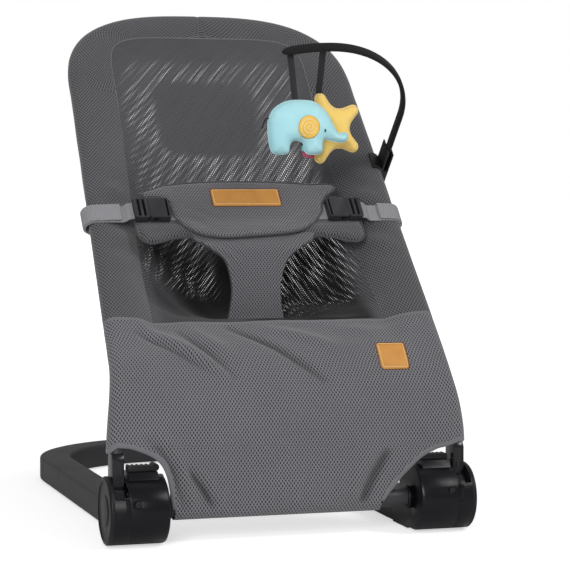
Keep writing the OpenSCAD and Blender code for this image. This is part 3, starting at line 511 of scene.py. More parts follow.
def cloth_area(rows):
    """Flat area and outside size of a sheet, from its rows of points."""
    width = max(sum((b - a).length for a, b in zip(row, row[1:])) for row in rows)
    middle = [row[len(row) // 2] for row in rows]
    length = sum((b - a).length for a, b in zip(middle, middle[1:]))
    area = 0.0
    for r in range(len(rows) - 1):
        for c in range(len(rows[0]) - 1):
            a, b, d, e = rows[r][c], rows[r][c + 1], rows[r + 1][c + 1], rows[r + 1][c]
            area += ((b - a).cross(d - a).length + (d - a).cross(e - a).length) / 2
    length = max(length, area / width)
    return (width, length), min(area, width * length)


# Knitted spacer mesh: rows of small staggered oval openings between fine yarns
knit, knit_in, knit_out = group(
    "knit_openings",
    {"Cell across": 0.0036, "Cell along": 0.0054, "Turn": 0.0, "Opening": 0.27, "Soft": 0.06},
    ("Hole", "Height", "Tone"))
cloth_map = tree_node(knit, "ShaderNodeUVMap", uv_map="cloth")
spin = tree_node(knit, "ShaderNodeVectorRotate", rotation_type="Z_AXIS")
cell = tree_node(knit, "ShaderNodeCombineXYZ", Z=1)
counted = tree_node(knit, "ShaderNodeVectorMath", operation="DIVIDE")
away = []
for shift in (0.0, 0.5):
    last = counted.outputs[0]
    for operation, amount in (("ADD", (shift, shift, 0)), ("FRACTION", None), ("SUBTRACT", (0.5, 0.5, 0)),
                              ("MULTIPLY", (1, 0.92, 0)), ("LENGTH", None)):
        step = tree_node(knit, "ShaderNodeVectorMath", operation=operation)
        if amount:
            step.inputs[1].default_value = amount
        knit.links.new(last, step.inputs[0])
        last = step.outputs[0]
    away.append(step.outputs["Value"])
near = tree_node(knit, "ShaderNodeMath", operation="MINIMUM")
rim = tree_node(knit, "ShaderNodeMath", operation="ADD")
hole = tree_node(knit, "ShaderNodeMapRange", interpolation_type="SMOOTHSTEP", To_Min=1, To_Max=0)
yarn = tree_node(knit, "ShaderNodeTexNoise", Scale=2600, Detail=2)
raised = tree_node(knit, "ShaderNodeMath", operation="MULTIPLY_ADD")
raised.inputs[1].default_value = 0.35
slow = tree_node(knit, "ShaderNodeTexNoise", Scale=14, Detail=4)
tone = tree_node(knit, "ShaderNodeMapRange", To_Min=0.88, To_Max=1.12)
link(
    knit,
    (cloth_map.outputs[0], spin.inputs["Vector"]),
    (knit_in.outputs["Turn"], spin.inputs["Angle"]),
    (knit_in.outputs["Cell across"], cell.inputs["X"]),
    (knit_in.outputs["Cell along"], cell.inputs["Y"]),
    (spin.outputs[0], counted.inputs[0]),
    (cell.outputs[0], counted.inputs[1]),
    (away[0], near.inputs[0]),
    (away[1], near.inputs[1]),
    (knit_in.outputs["Opening"], rim.inputs[0]),
    (knit_in.outputs["Soft"], rim.inputs[1]),
    (near.outputs[0], hole.inputs["Value"]),
    (knit_in.outputs["Opening"], hole.inputs["From Min"]),
    (rim.outputs[0], hole.inputs["From Max"]),
    (cloth_map.outputs[0], yarn.inputs["Vector"]),
    (yarn.outputs["Fac"], raised.inputs[0]),
    (near.outputs[0], raised.inputs[2]),
    (cloth_map.outputs[0], slow.inputs["Vector"]),
    (slow.outputs["Fac"], tone.inputs["Value"]),
    (hole.outputs[0], knit_out.inputs["Hole"]),
    (raised.outputs[0], knit_out.inputs["Height"]),
    (tone.outputs[0], knit_out.inputs["Tone"]))


def mesh_cloth(name, yarn_color, hole_color, cell, opening, soft,
               turned=0.0, sheen=0.25, shade_painted_at="", darkest=1.0, see_through=False):
    """Spacer mesh: dark openings over a lining, or openings that let light through, with painted shade from a point
    attribute where one is named.
    """
    made = Shader(name, yarn_color, 0.88, Sheen_Weight=sheen, Sheen_Roughness=0.6, Specular_IOR_Level=0.25)
    k = made.node("ShaderNodeGroup", node_tree=knit)
    for label, value in zip(("Cell across", "Cell along", "Opening", "Soft", "Turn"), (*cell, opening, soft, turned)):
        k.inputs[label].default_value = value
    color = made.scaled(made.mixed(yarn_color, hole_color, k.outputs["Hole"]), k.outputs["Tone"])
    # Painted shade: the named attribute darkens the colour, down to darkest.
    if shade_painted_at:
        painted_shade = made.node("ShaderNodeAttribute", attribute_name=shade_painted_at)
        color = made.scaled(color, made.ranged(painted_shade.outputs["Fac"], To_Min=1.0, To_Max=darkest))
    made.feed("Base Color", color)
    made.relief(k.outputs["Height"], 0.0006)
    if see_through:
        where = made.node("ShaderNodeAttribute", attribute_name="open")
        clear = made.combined("MULTIPLY", k.outputs["Hole"], where.outputs["Fac"])
        made.feed("Alpha", made.combined("SUBTRACT", 1.0, clear))
    return made.material


# The borders' yarn is darker than the apron's lined mesh as painted shade; the cloth is the same.
shaded_border_mesh = mesh_cloth(
    "shaded_border_mesh", (0.108, 0.106, 0.117), (0.008, 0.008, 0.009), (0.0040, 0.0054), 0.19, 0.10)


def thickened(obj, thickness):
    """Gives a sheet its wall, behind its face."""
    wall = obj.modifiers.new("wall", "SOLIDIFY")
    wall.thickness = thickness
    wall.offset = -1
    settled(obj, 60)


def border_rows(mirror):
    """Rows of points from the seam over the tube to behind it, from the knee up to the centre seam."""
    stations = []
    straight = Vector((shoulder_x - knee_x, shoulder_s - arc_l)).normalized()
    for k in range(straight_steps):
        s = mix(knee_s + 0.0006, shoulder_s, k / straight_steps)
        stations.append((Vector((tube_x(s), s)), Vector((tube_x(s) - border_w, s)), straight))
    for k in range(bow_steps + 1):
        t = k / bow_steps
        ahead = bow_point(min(1.0, t + 0.01)) - bow_point(max(0.0, t - 0.01))
        if t < 0.02:
            ahead = straight * (1 - t / 0.02) + ahead.normalized() * (t / 0.02)
        if k == bow_steps:
            ahead = Vector((-1, 0))
        stations.append((bow_point(t), seam_point(t), ahead.normalized()))
    rows = []
    for c, q, ahead in stations:
        inward = Vector((-ahead.y, ahead.x))
        on_tube = c + inward * 0.0015
        centre_dip = 0.0009 * math.exp(-(c.x / 0.0022) ** 2) if c.y > shoulder_s else 0.0
        row = []
        for k in range(face_steps + 1):
            f = k / face_steps
            p = q.lerp(on_tube, f)
            free = math.sin(math.pi * min(1, f * 1.05))
            puckers = math.sin((p.y - strap_s) * 165 + p.x * (40 if mirror else 90))
            lift = border_lift(f, q.y) + 0.0012 * ripple(p.x * 1.4, p.y, 0.055, 3.0 + mirror) * free
            lift += 0.0034 * math.exp(-((p.y - strap_s) / 0.055) ** 2) * free * puckers
            row.append((p, lift - centre_dip))
        for k in range(1, wrap_steps + 1):
            a = math.radians(90 + 180 * k / wrap_steps)
            out = tube_skin - centre_dip * max(0.0, math.sin(a)) + 0.0003 * ripple(a, c.y, 0.04, 7.0)
            row.append((c + inward * (math.cos(a) * out), math.sin(a) * out))
        for k in range(1, tuck_steps + 1):
            row.append((c + inward * tuck * k, -tube_skin))
        rows.append([on_seat(-p.x if mirror else p.x, p.y, lift) for p, lift in row])
    return rows


for side in ("left", "right"):
    rows = border_rows(side == "left")
    sheet = new_object(
        f"{side}_shaded_border_mesh", grid_mesh(f"{side}_shaded_border_mesh", rows, flip=side == "right"),
        shaded_border_mesh, "seat")
    flat, area = cloth_area(rows)
    thickened(sheet, 0.0011)
    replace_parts(sheet, f"{side}_border")


# ---- Cover: centre panel and outer layer --------------------------------------
# One sheet of open spacer mesh sewn inside the borders: flat behind the shoulders, then
# sagging into a deep seat. A second, plainer layer is stretched over the tubes behind it.
clip_s = 0.409
ring_outside, ring_inside = (0.002, 0.490, 0.122, 0.122), (-0.010, 0.517, 0.064, 0.052)
right_leg, left_leg = (0.092, 0.290, 0.050, 0.068), (-0.076, 0.316, 0.054, 0.042)


def pocket(x, s, w):
    """Depth of the panel behind the frame: its seams' sag at the sides, the seat's depth between."""
    if s > pocket_s:
        side = math.cos(math.pi / 2 * min(1, (s - pocket_s) / (seam_s - pocket_s))) ** 2.6
    else:
        side = math.cos(math.pi / 2 * min(1, (pocket_s - s) / (pocket_s - knee_s)))
    return mix(max(sag(s), pocket_depth * side), sag(s), min(1, abs(x) / w) ** 2.6)


def cloth_grid(half, top, bottom, across=56, straight=60, rounded=18):
    """Flat places (x, s, half width) over the back, closer together towards the sides."""
    spread = [math.sin(math.pi / 2 * (2 * c / across - 1)) for c in range(across + 1)]
    rows = []
    for k in range(straight + 1):
        s = mix(bottom, shoulder_s, k / straight)
        rows.append([(half(s) * f, s, half(s)) for f in spread])
    for k in range(1, rounded + 1):
        w = half(shoulder_s)
        rows.append([(w * f, mix(shoulder_s, top(f), k / rounded), w) for f in spread])
    return rows


def painted_well_shade(x, s):
    """Painted shade, 1 in the seat's well below the belt; less where a fold of its left corner comes forward, with a
    painted dark crease in that corner.
    """
    dark = ease((0.350 - s) / 0.045) * ease((tube_x(s) - border_w - 0.004 - abs(x)) / 0.018)
    fold = 1 - ease(0.5 + ((x + 0.102) * 0.82 + (s - 0.2825) * 0.57) / 0.03)
    u, v = x + 0.108, s - 0.228
    crease = math.exp(-((u * 0.7 + v) / 0.012) ** 2 - (u / 0.026) ** 2)
    return dark * (1 - 0.62 * fold * (1 - 0.45 * crease))


def openings_and_painted_shade(obj, places, amount):
    """Stores how far the mesh's openings let light through, and the painted shade of the seat's well, point by point.
    """
    for label, value_at in (("open", amount), ("deep", painted_well_shade)):
        layer = obj.data.attributes.new(label, "FLOAT", "POINT")
        for item, (x, s, w) in zip(layer.data, places):
            item.value = value_at(x, s)


def joined(mesh, *others, distance=0.00002):
    """Takes other meshes into one, and makes points that meet one point."""
    work = bmesh.new()
    for part in (mesh, *others):
        work.from_mesh(part)
    bmesh.ops.remove_doubles(work, verts=work.verts, dist=distance)
    work.to_mesh(mesh)
    work.free()


def inside_box(x, s, box, soft=0.18):
    """1 inside a box with round corners and 0 outside it: its middle across and along, and half its sides."""
    x0, s0, half_x, half_s = box
    power = 7
    reach = (abs((x - x0) / half_x) ** power + abs((s - s0) / half_s) ** power) ** (1 / power)
    return 1 - ease((reach - 1 + soft / 2) / soft)


def beside_clip(x, s, w):
    """Draws the outer layer's right edge in beside the toy bar's clip, which turns on the tube."""
    near = 1 - ease((abs(s - clip_s) - 0.014) / 0.012)
    return x - 0.0045 * near * max(0.0, x / w) ** 8


def outer_opening(x, s):
    """Where light comes through the outer layer: a ring behind the back, and behind both legs."""
    ring = inside_box(x, s, ring_outside) * (1 - inside_box(x, s, ring_inside))
    legs = inside_box(x, s, right_leg, 0.3) + inside_box(x, s, left_leg, 0.3)
    patchy = 0.85 + 0.5 * ripple(x, s, 0.035, 41.0)
    return max(0.0, min(1.0, (ring + 0.85 * legs) * patchy))


# Both layers are darkened down to 0.05 of their colour by the "deep" attribute, as painted shade in the seat's well.
front_mesh = mesh_cloth(
    "panel_mesh", (0.116, 0.114, 0.125), (0.010, 0.010, 0.011), (0.0034, 0.0044), 0.21, 0.05,
    sheen=0.08, shade_painted_at="deep", darkest=0.05, see_through=True)
outer_mesh = mesh_cloth(
    "outer_mesh", (0.050, 0.049, 0.055), (0.015, 0.015, 0.017), (0.00269, 0.00537), 0.20, 0.05,
    turned=0.176, shade_painted_at="deep", darkest=0.05, see_through=True)


def panel_half(s):
    """Half the width of the panel, up to the shoulders."""
    return tube_x(s) - border_w - 0.0002


def panel_top(f):
    """The panel's upper edge, inside the bow."""
    return shoulder_s + (seam_s - shoulder_s) * max(0, 1 - abs(f) ** (2 / seam_power)) ** (seam_power / 2)


def panel_lift(x, s, w):
    """The panel's face in front of the frame: its pocket, and slack folds towards the seat."""
    inner = (1 - min(1, abs(x) / w) ** 4) * ease((seam_s - s) / 0.05) * ease((s - knee_s) / 0.03)
    slack = 0.0010 + 0.0034 * ease((0.36 - s) / 0.1)
    folds = math.sin((x * 0.8 + s) * 95) * ease((0.33 - s) / 0.09) * ease((abs(x) - 0.03) / 0.04)
    lift = seam_lift - pocket(x, s, w) + inner * slack * ripple(x * 1.3, s, 0.05, 11.0)
    return lift + inner * 0.003 * folds


def drawn(x, s):
    """Where a place of the panel lies on its cloth: pulled round where the right leg's well is drawn down."""
    well = Vector((0.09, 0.28))
    pull = 0.35 * ease((0.372 - s) / 0.03) * ease((x - 0.004) / 0.02)
    return well + Matrix.Rotation(pull, 2) @ (Vector((x, s)) - well)


def layer_sheet(name, places, lift, map_at, amount, material):
    """A layer of the back over its flat places, as a sheet between the borders."""
    rows = [[on_seat(x, s, lift(x, s, w)) for x, s, w in row] for row in places]
    flat_map = [[map_at(x, s) for x, s, w in row] for row in places]
    made = new_object(name, grid_mesh(name, rows, True, flat_map), material, "seat")
    flat, area = cloth_area(rows)
    openings_and_painted_shade(made, [q for row in places for q in row], amount)
    joined(made.data)
    thickened(made, 0.0008)
    return made


panel = layer_sheet(
    "panel_mesh", cloth_grid(panel_half, panel_top, knee_s + 0.0004), panel_lift, drawn,
    lambda x, s: ease((s - knee_s - 0.035) / 0.02), front_mesh)
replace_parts(panel, "back_panel")


def outer_top(f):
    """Upper edge of the outer layer, just inside the bow."""
    a = math.acos(min(1, abs(f)) ** (1 / bow_power))
    return shoulder_s + (bow_h - 0.011) * math.sin(a) ** bow_power


def outer_lift(x, s, w):
    """The outer layer behind the frame: flat from tube to tube, but pushed back by the pocket."""
    room = shoulder_half if s > shoulder_s else tube_x(s) - border_w
    if abs(x) < room:
        behind = pocket(x, min(s, seam_s), room) - seam_lift
    else:
        behind = -border_lift(min(1, (abs(x) - room) / (w - room)), s)
    behind += 0.0105 + 0.004 * ease((s - knee_s) / 0.04)
    flat_back = tube_skin + 0.0012 * math.sin(math.pi * min(1, (w - abs(x)) / 0.03) / 2)
    blend = 0.004
    soft = blend * math.exp(-abs(behind - flat_back) / blend) * 0.6 * ease((w - abs(x)) / 0.02)
    return -(max(behind, flat_back) + soft)


places = cloth_grid(lambda s: tube_x(s) - 0.0105, outer_top, knee_s + 0.003)
places = [[(beside_clip(x, s, w), s, w) for x, s, w in row] for row in places]
layer_sheet("outer_layer", places, outer_lift, lambda x, s: (x, s), outer_opening, outer_mesh)


# ---- Cover: welts and stitches ------------------------------------------------
# The seam between the panel and the borders is turned under with a fine welt of the
# same grey as the cover, with a row of stitches beside it.


def bead(name, line, radius, sides=8, closed=False, flat=1.0, normals=None):
    """A mesh welt along a line of points, round or flattened along the normals given."""
    count = len(line)
    rings, side = [], None
    for i, p in enumerate(line):
        before = line[(i - 1) % count] if closed or i else p
        after = line[(i + 1) % count] if closed or i + 1 < count else p
        ahead = (after - before).normalized()
        if normals:
            side = ahead.cross(normals[i]).normalized()
        elif side is None:
            side = ahead.cross(Vector((0, 0, 1)) if abs(ahead.z) < 0.9 else Vector((1, 0, 0))).normalized()
        else:
            side = (side - ahead * side.dot(ahead)).normalized()
        up = side.cross(ahead)
        turns = [2 * math.pi * k / sides for k in range(sides)]
        rings.append([p + side * (radius * math.cos(a)) + up * (radius * flat * math.sin(a)) for a in turns])
    mesh = lofted(name, rings, closed)
    mesh.polygons.foreach_set("use_smooth", [True] * len(mesh.polygons))
    return mesh


def welt(name, line, material, body, slot_name, radius, sides=8, **shape):
    """A bead as a piece of its own."""
    return new_object(name, bead(name, line, radius, sides, **shape), material, body)


stitching = bpy.data.node_groups.new("stitch_row", "GeometryNodeTree")
stitching.interface.new_socket("Geometry", in_out="INPUT", socket_type="NodeSocketGeometry")
for label, value in (("Pitch", 0.003), ("Length", 0.0011), ("Thickness", 0.00028)):
    stitching.interface.new_socket(label, in_out="INPUT", socket_type="NodeSocketFloat").default_value = value
stitching.interface.new_socket("Thread", in_out="INPUT", socket_type="NodeSocketMaterial")
stitching.interface.new_socket("Geometry", in_out="OUTPUT", socket_type="NodeSocketGeometry")
sew_in = tree_node(stitching, "NodeGroupInput")
sew_out = tree_node(stitching, "NodeGroupOutput")
as_curve = tree_node(stitching, "GeometryNodeMeshToCurve")
needle_holes = tree_node(stitching, "GeometryNodeCurveToPoints", mode="LENGTH")
one = tree_node(stitching, "GeometryNodeMeshIcoSphere", Radius=1.0, Subdivisions=2)
size = tree_node(stitching, "ShaderNodeCombineXYZ")
laid = tree_node(stitching, "GeometryNodeInstanceOnPoints")
real = tree_node(stitching, "GeometryNodeRealizeInstances")
smooth = tree_node(stitching, "GeometryNodeSetShadeSmooth")
thread_on = tree_node(stitching, "GeometryNodeSetMaterial")
link(
    stitching,
    (sew_in.outputs["Geometry"], as_curve.inputs["Mesh"]),
    (as_curve.outputs["Curve"], needle_holes.inputs["Curve"]),
    (sew_in.outputs["Pitch"], needle_holes.inputs["Length"]),
    (sew_in.outputs["Thickness"], size.inputs["X"]),
    (sew_in.outputs["Thickness"], size.inputs["Y"]),
    (sew_in.outputs["Length"], size.inputs["Z"]),
    (needle_holes.outputs["Points"], laid.inputs["Points"]),
    (one.outputs["Mesh"], laid.inputs["Instance"]),
    (needle_holes.outputs["Rotation"], laid.inputs["Rotation"]),
    (size.outputs[0], laid.inputs["Scale"]),
    (laid.outputs["Instances"], real.inputs["Geometry"]),
    (real.outputs["Geometry"], smooth.inputs["Geometry"]),
    (smooth.outputs["Geometry"], thread_on.inputs["Geometry"]),
    (sew_in.outputs["Thread"], thread_on.inputs["Material"]),
    (thread_on.outputs["Geometry"], sew_out.inputs["Geometry"]))


def stitches(name, lines, material, body, pitch=0.0032, length=0.0011, thickness=0.0003):
    """Rows of stitches along lines of points."""
    points, edges = [], []
    for line in lines:
        edges += [(len(points) + i, len(points) + i + 1) for i in range(len(line) - 1)]
        points += line
    mesh = bpy.data.meshes.new(name)
    mesh.from_pydata(points, edges, [])
    made = bpy.data.objects.new(name, mesh)
    bpy.context.scene.collection.objects.link(made)
    sewing = made.modifiers.new("stitches", "NODES")
    sewing.node_group = stitching
    keys = {item.name: item.identifier for item in stitching.interface.items_tree if item.in_out == "INPUT"}
    for label, value in (("Pitch", pitch), ("Length", length), ("Thickness", thickness), ("Thread", material)):
        sewing[keys[label]] = value
    bpy.context.view_layer.update()
    evaluated = made.evaluated_get(bpy.context.evaluated_depsgraph_get())
    sewn = bpy.data.meshes.new_from_object(evaluated)
    made.modifiers.clear()
    made.data = sewn
    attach(made, body)


def close_weave(name, color, roughness=0.9, sheen=0.3, bump=0.00015, per_metre=2400.0):
    """Plain close-woven cloth: thread grain, slow change of tone, a little sheen."""
    made = Shader(name, color, roughness, Sheen_Weight=sheen, Sheen_Roughness=0.5, Specular_IOR_Level=0.3)
    threads = made.clouds(per_metre, 3.0)
    uneven = made.combined("ADD", threads, made.clouds(30.0, 4.0))
    amount = made.ranged(uneven, From_Min=0.6, From_Max=1.4, To_Min=0.88, To_Max=1.12)
    made.feed("Base Color", made.scaled(color, amount))
    made.relief(threads, bump)
    return made.material


binding_cloth = close_weave("binding_cloth", (0.152, 0.149, 0.161))
grey_thread = close_weave("grey_thread", (0.19, 0.187, 0.20), 0.7, 0.1)


def seam_line(lift, inset=0.0):
    """Once round the panel's seam, from one knee to the other."""
    half = []
    for k in range(40):
        s = mix(knee_s + 0.001, shoulder_s, k / 40)
        half.append((tube_x(s) - border_w - inset, s))
    for k in range(41):
        q = seam_point(k / 40)
        half.append((q.x * (1 - inset / shoulder_half), q.y - inset * ease(k / 20)))
    full = half + [(-x, s) for x, s in reversed(half[:-1])]
    return [on_seat(x, s, lift - sag(s)) for x, s in full]


welt("panel_welt", seam_line(seam_lift + 0.0003), binding_cloth, "seat", "twill", 0.0009)
stitches("panel_stitches", [seam_line(seam_lift + 0.0013, -0.004)], grey_thread, "seat")

# ---- Cover: apron --------------------------------------------------------------
# The lower front of the cover: lined mesh wrapped round both tubes above the arms, with
# slack folds under the seat, drawn down to a casing closed round the cross tube.


def curve_through(points, count, closed=False):
    """Evenly spaced points along a smooth curve through the given ones."""
    n = len(points)
    dense = []
    for i in range(n if closed else n - 1):
        a, b, c, d = (points[(i + k - 1) % n if closed else max(0, min(n - 1, i + k - 1))] for k in range(4))
        size = (c - b).length
        leave = (c - a) * (size / (size + (b - a).length))
        arrive = (d - b) * (size / (size + (d - c).length))
        for k in range(16):
            t = k / 16
            dense.append(b * (1 + 2 * t) * (1 - t) ** 2 + leave * t * (1 - t) ** 2
                         + c * t * t * (3 - 2 * t) + arrive * t * t * (t - 1))
    dense.append(dense[0] if closed else points[-1])
    gone = [0.0]
    for a, b in zip(dense, dense[1:]):
        gone.append(gone[-1] + (b - a).length)
    line, at = [], 0
    for k in range(count):
        want = gone[-1] * k / (count if closed else count - 1)
        while at < len(dense) - 2 and gone[at + 1] < want:
            at += 1
        line.append(dense[at].lerp(dense[at + 1], (want - gone[at]) / max(1e-9, gone[at + 1] - gone[at])))
    return line


def near_line(p, line):
    """Distance from a flat point to a line of points, and the share of the way along it."""
    best = (1e9, 0.0)
    for i, (a, b) in enumerate(zip(line, line[1:])):
        d = b - a
        t = max(0.0, min(1.0, (p - a).dot(d) / d.length_squared))
        best = min(best, ((p - a - d * t).length, (i + t) / (len(line) - 1)))
    return best


# Folds over the front, in the order they cross it: points (x, s), half width and height
slack_folds = [
    ([(-0.160, 0.153), (-0.118, 0.117), (-0.074, 0.079)], 0.0085, 0.0040),
    ([(-0.164, 0.139), (-0.121, 0.108), (-0.088, 0.082)], 0.0045, -0.0030),
    ([(-0.115, 0.143), (-0.063, 0.078)], 0.0045, -0.0026),
    ([(-0.100, 0.150), (-0.055, 0.096)], 0.0075, 0.0022),
    ([(-0.053, 0.150), (-0.015, 0.120), (0.043, 0.071)], 0.0048, -0.0032),
    ([(-0.016, 0.149), (0.026, 0.132), (0.066, 0.113)], 0.0085, 0.0032),
    ([(0.060, 0.152), (0.112, 0.138), (0.160, 0.146)], 0.0090, 0.0018),
    ([(-0.167, 0.0125), (-0.153, 0.001), (-0.139, -0.021), (-0.130, -0.050), (-0.1262, -0.066)], 0.0040, -0.0012),
    ([(-0.158, 0.020), (-0.142, 0.006), (-0.129, -0.018), (-0.121, -0.045), (-0.118, -0.064)], 0.0060, 0.0020),
    ([(-0.122, -0.022), (-0.1035, -0.045), (-0.094, -0.063)], 0.0042, -0.0022),
    ([(-0.112, -0.018), (-0.094, -0.042), (-0.085, -0.062)], 0.0060, 0.0014),
    ([(0.113, -0.012), (0.095, -0.041), (0.083, -0.064)], 0.0055, -0.0026),
    ([(0.096, -0.006), (0.078, -0.038), (0.066, -0.062)], 0.0075, 0.0018),
]
slack_folds = [([Vector(p) for p in line], half, height) for line, half, height in slack_folds]


def fold_height(x, s):
    """Height of the slack folds at a place, above nought on a ridge and below it in a valley."""
    total = 0.0
    for line, half, height in slack_folds:
        away, share = near_line(Vector((x, s)), line)
        if away < 3 * half:
            total += height * math.exp(-(away / half) ** 2) * math.sin(math.pi * (0.12 + 0.76 * share)) ** 0.8
    return total


def fold_lift(x, s):
    """What the folds and the unevenness of the cloth add to the apron's face."""
    return 1.7 * fold_height(x, s) + 0.0016 * ripple(x, s, 0.045, 21.0) + 0.0006 * ripple(x, s, 0.016, 22.0)


# Valleys of these depths are at their darkest in the painted shade: the folds above the arms, and those below them
darkest_above, darkest_below = 0.0032, 0.0014
tip_share = 0.935
hem_out, hem_s, hem_steps = 0.0127, -0.0654, 14
left_edge = curve_through([Vector(p) for p in (
    (-0.188, 0.0070), (-0.176, 0.0034), (-0.1600, -0.0038), (-0.1492, -0.0138), (-0.1428, -0.0275),
    (-0.1394, -0.0450), (-0.1365, hem_s))], 25)
right_edge = curve_through([Vector(p) for p in (
    (0.188, -0.0036), (0.175, -0.0062), (0.156, -0.0152), (0.136, -0.0318), (0.1185, -0.0508), (0.1065, hem_s))], 25)
front_columns, apron_rise = 101, 50
# The lined mesh is darkened down to 0.42 of its colour in the fold valleys by the "crease" attribute, as painted
# shade.
lined_mesh = mesh_cloth(
    "lined_mesh", (0.180, 0.177, 0.194), (0.014, 0.014, 0.016), (0.0040, 0.0058), 0.17, 0.12,
    shade_painted_at="crease", darkest=0.42)


def apron_lift(x, s):
    """How far the apron's face stands in front of the frame plane."""
    w = tube_x(max(s, 0.0))
    room = w - border_w
    inner = min(1.0, max(0.0, (w - abs(x)) / 0.03))
    lift = mix(tube_skin, hem_out, ease((-0.015 - s) / 0.045))
    at_seam = border_lift(max(0.0, min(1.0, (abs(x) - room) / border_w)), knee_s) + 0.0012
    lift = mix(lift, at_seam, ease((s - 0.100) / 0.062) ** 1.4)
    gathers = 0.0007 * math.sin(x * 370 + 2 * ripple(x, s, 0.05, 5.0)) * ease((-0.034 - s) / 0.02)
    calm = ease((s - hem_s + 0.0040) / 0.010)
    return lift + ease(inner) * (fold_lift(x, s) + gathers) * calm


def lower_limit(x_share, turned):
    """Where a column of the apron ends above the arm: x_share from -1 to 1, turned from 0 to 1 round the tube."""
    left = mix(0.0070, 0.0004, ease(turned))
    right = mix(-0.0036, -0.0004, ease(max(turned, (x_share - tip_share) / (1 - tip_share))))
    return mix(left, right, (x_share + 1) / 2)


def front_row(first, last):
    """Evenly spaced numbers across the apron's front."""
    return [mix(first, last, k / (front_columns - 1)) for k in range(front_columns)]


def apron_wrap(side, up):
    """One row of the apron's points round a tube, from its front to behind it; side is -1 or 1."""
    wrap = []
    for k in range(1, wrap_steps + tuck_steps + 1):
        s = mix(lower_limit(side, min(1.0, 2 * k / wrap_steps)), knee_s - 0.0003, up)
        w = tube_x(s)
        if k <= wrap_steps:
            a = math.radians(90 + 180 * k / wrap_steps)
            out = tube_skin + 0.0003 * ripple(a, s, 0.03, 8.0)
            wrap.append(on_seat(side * (w - math.cos(a) * out), s, math.sin(a) * out))
        else:
            wrap.append(on_seat(side * (w - tuck * (k - wrap_steps)), s, -tube_skin))
    return wrap


tips = (1 + tip_share) / 2
shares = [-1, -tips] + front_row(-tip_share, tip_share) + [tips, 1]
rows, crease_shades = [], []
for j in range(apron_rise + 1):
    row = apron_wrap(-1, j / apron_rise)[::-1]
    for f in shares:
        s = mix(lower_limit(f, 0.0), knee_s - 0.0003, j / apron_rise)
        x = f * tube_x(s)
        row.append(on_seat(x, s, apron_lift(x, s)))
        crease_shades.append((row[-1], -fold_height(x, s) / darkest_above))
    rows.append(row + apron_wrap(1, j / apron_rise))

# The skirt below the arms is drawn down to the casing, and its cloth map runs on from the upper part's
skirt, skirt_map = [], []
for left, right in zip(left_edge, right_edge):
    places = list(zip(front_row(left.x, right.x), front_row(left.y, right.y)))
    skirt.append([on_seat(x, s, apron_lift(x, s)) for x, s in places])
    skirt_map.append([(x, s - lower_limit(x / arm_x, 0.0)) for x, s in places])
    crease_shades += [(p, -fold_height(x, s) / darkest_below) for p, (x, s) in zip(skirt[-1], places)]
casing = [(-hem_out * math.cos(a), -hem_out * math.sin(a))
          for a in (math.pi * j / hem_steps for j in range(1, hem_steps + 1))]
casing += [(hem_out, 0.0034 * j) for j in range(1, 5)]
for y, z in casing:
    skirt.append([Vector((x, hub_axis.y + y, hub_axis.z + z)) for x in front_row(left_edge[-1].x, right_edge[-1].x)])
    down = (skirt[-1][front_columns // 2] - skirt[-2][front_columns // 2]).length
    skirt_map.append([(u, v - down) for u, v in skirt_map[-1]])

# The two parts share the row above the arms: its columns lie inside the side edges' tips
first = wrap_steps + tuck_steps + 2
skirt[0] = rows[0][first:first + front_columns]
mesh = grid_mesh("apron_mesh", rows, True)
joined(mesh, grid_mesh("apron_skirt", skirt[::-1], True, skirt_map[::-1]), distance=0.00001)
apron = new_object("apron_mesh", mesh, lined_mesh, "seat")

# Each point of the mesh keeps how deep in a crease it lies, found again by its place, for the painted shade in the
# valleys
nearest = KDTree(len(crease_shades))
for i, (p, _) in enumerate(crease_shades):
    nearest.insert(p, i)
nearest.balance()
layer = mesh.attributes.new("crease", "FLOAT", "POINT")
for vertex, item in zip(mesh.vertices, layer.data):
    _, i, gap = nearest.find(vertex.co)
    item.value = max(0.0, min(1.0, crease_shades[i][1])) if gap < 0.0001 else 0.0
upper_size, upper_area = cloth_area(rows)
skirt_size, skirt_area = cloth_area(skirt)
thickened(apron, 0.0011)
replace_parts(apron, "apron", "apron_hem")

# ---- Cover: bindings and hem ---------------------------------------------------
# A smooth tape binds the apron's curved side edges and runs on over the tubes; a turned
# edge closes the knee seam; the casing at the hem is held by a row of stitches.


def over_apron(x, s):
    """A place just proud of the apron's face."""
    return on_seat(x, s, apron_lift(x, s) + 0.0002)


for side, sign, edge in (("left", -1, left_edge), ("right", 1, right_edge)):
    line, facing = [], []
    for q in reversed(edge):
        line.append(over_apron(q.x, q.y))
        facing.append(on_seat(q.x, q.y, 1.0) - on_seat(q.x, q.y, 0.0))
    for k in range(13):
        turned = k / 12
        s = lower_limit(sign, min(1.0, 2 * turned)) + 0.0012
        a = math.radians(90 + 150 * turned)
        w = tube_x(s)
        out = tube_skin + 0.0003
        line.append(on_seat(sign * (w - math.cos(a) * out), s, math.sin(a) * out))
        facing.append(on_seat(sign * -math.cos(a), s, math.sin(a)) - on_seat(0, s, 0))
    welt(f"{side}_edge_binding", line, binding_cloth, "seat", "twill", 0.0033, 12, flat=0.36, normals=facing)

downwards = on_seat(0, knee_s, 0) - on_seat(0, knee_s + 0.01, 0)
top_row = rows[-1][tuck_steps:-tuck_steps]
line, facing = [], []
for a, b, c in zip(top_row, top_row[1:], top_row[2:]):
    line.append(b + Vector((0, -0.0002, 0.0002)))
    facing.append((c - a).normalized().cross(downwards).normalized() * -1)
welt("knee_binding", line, binding_cloth, "seat", "twill", 0.0024, 10, flat=0.5, normals=facing)
below_knee = [p + (q - p).normalized() * 0.0062 + Vector((0, -0.0005, 0.0004))
              for p, q in zip(rows[-1][5:-5], rows[-3][5:-5])]
stitches("knee_stitches", [below_knee], grey_thread, "seat")

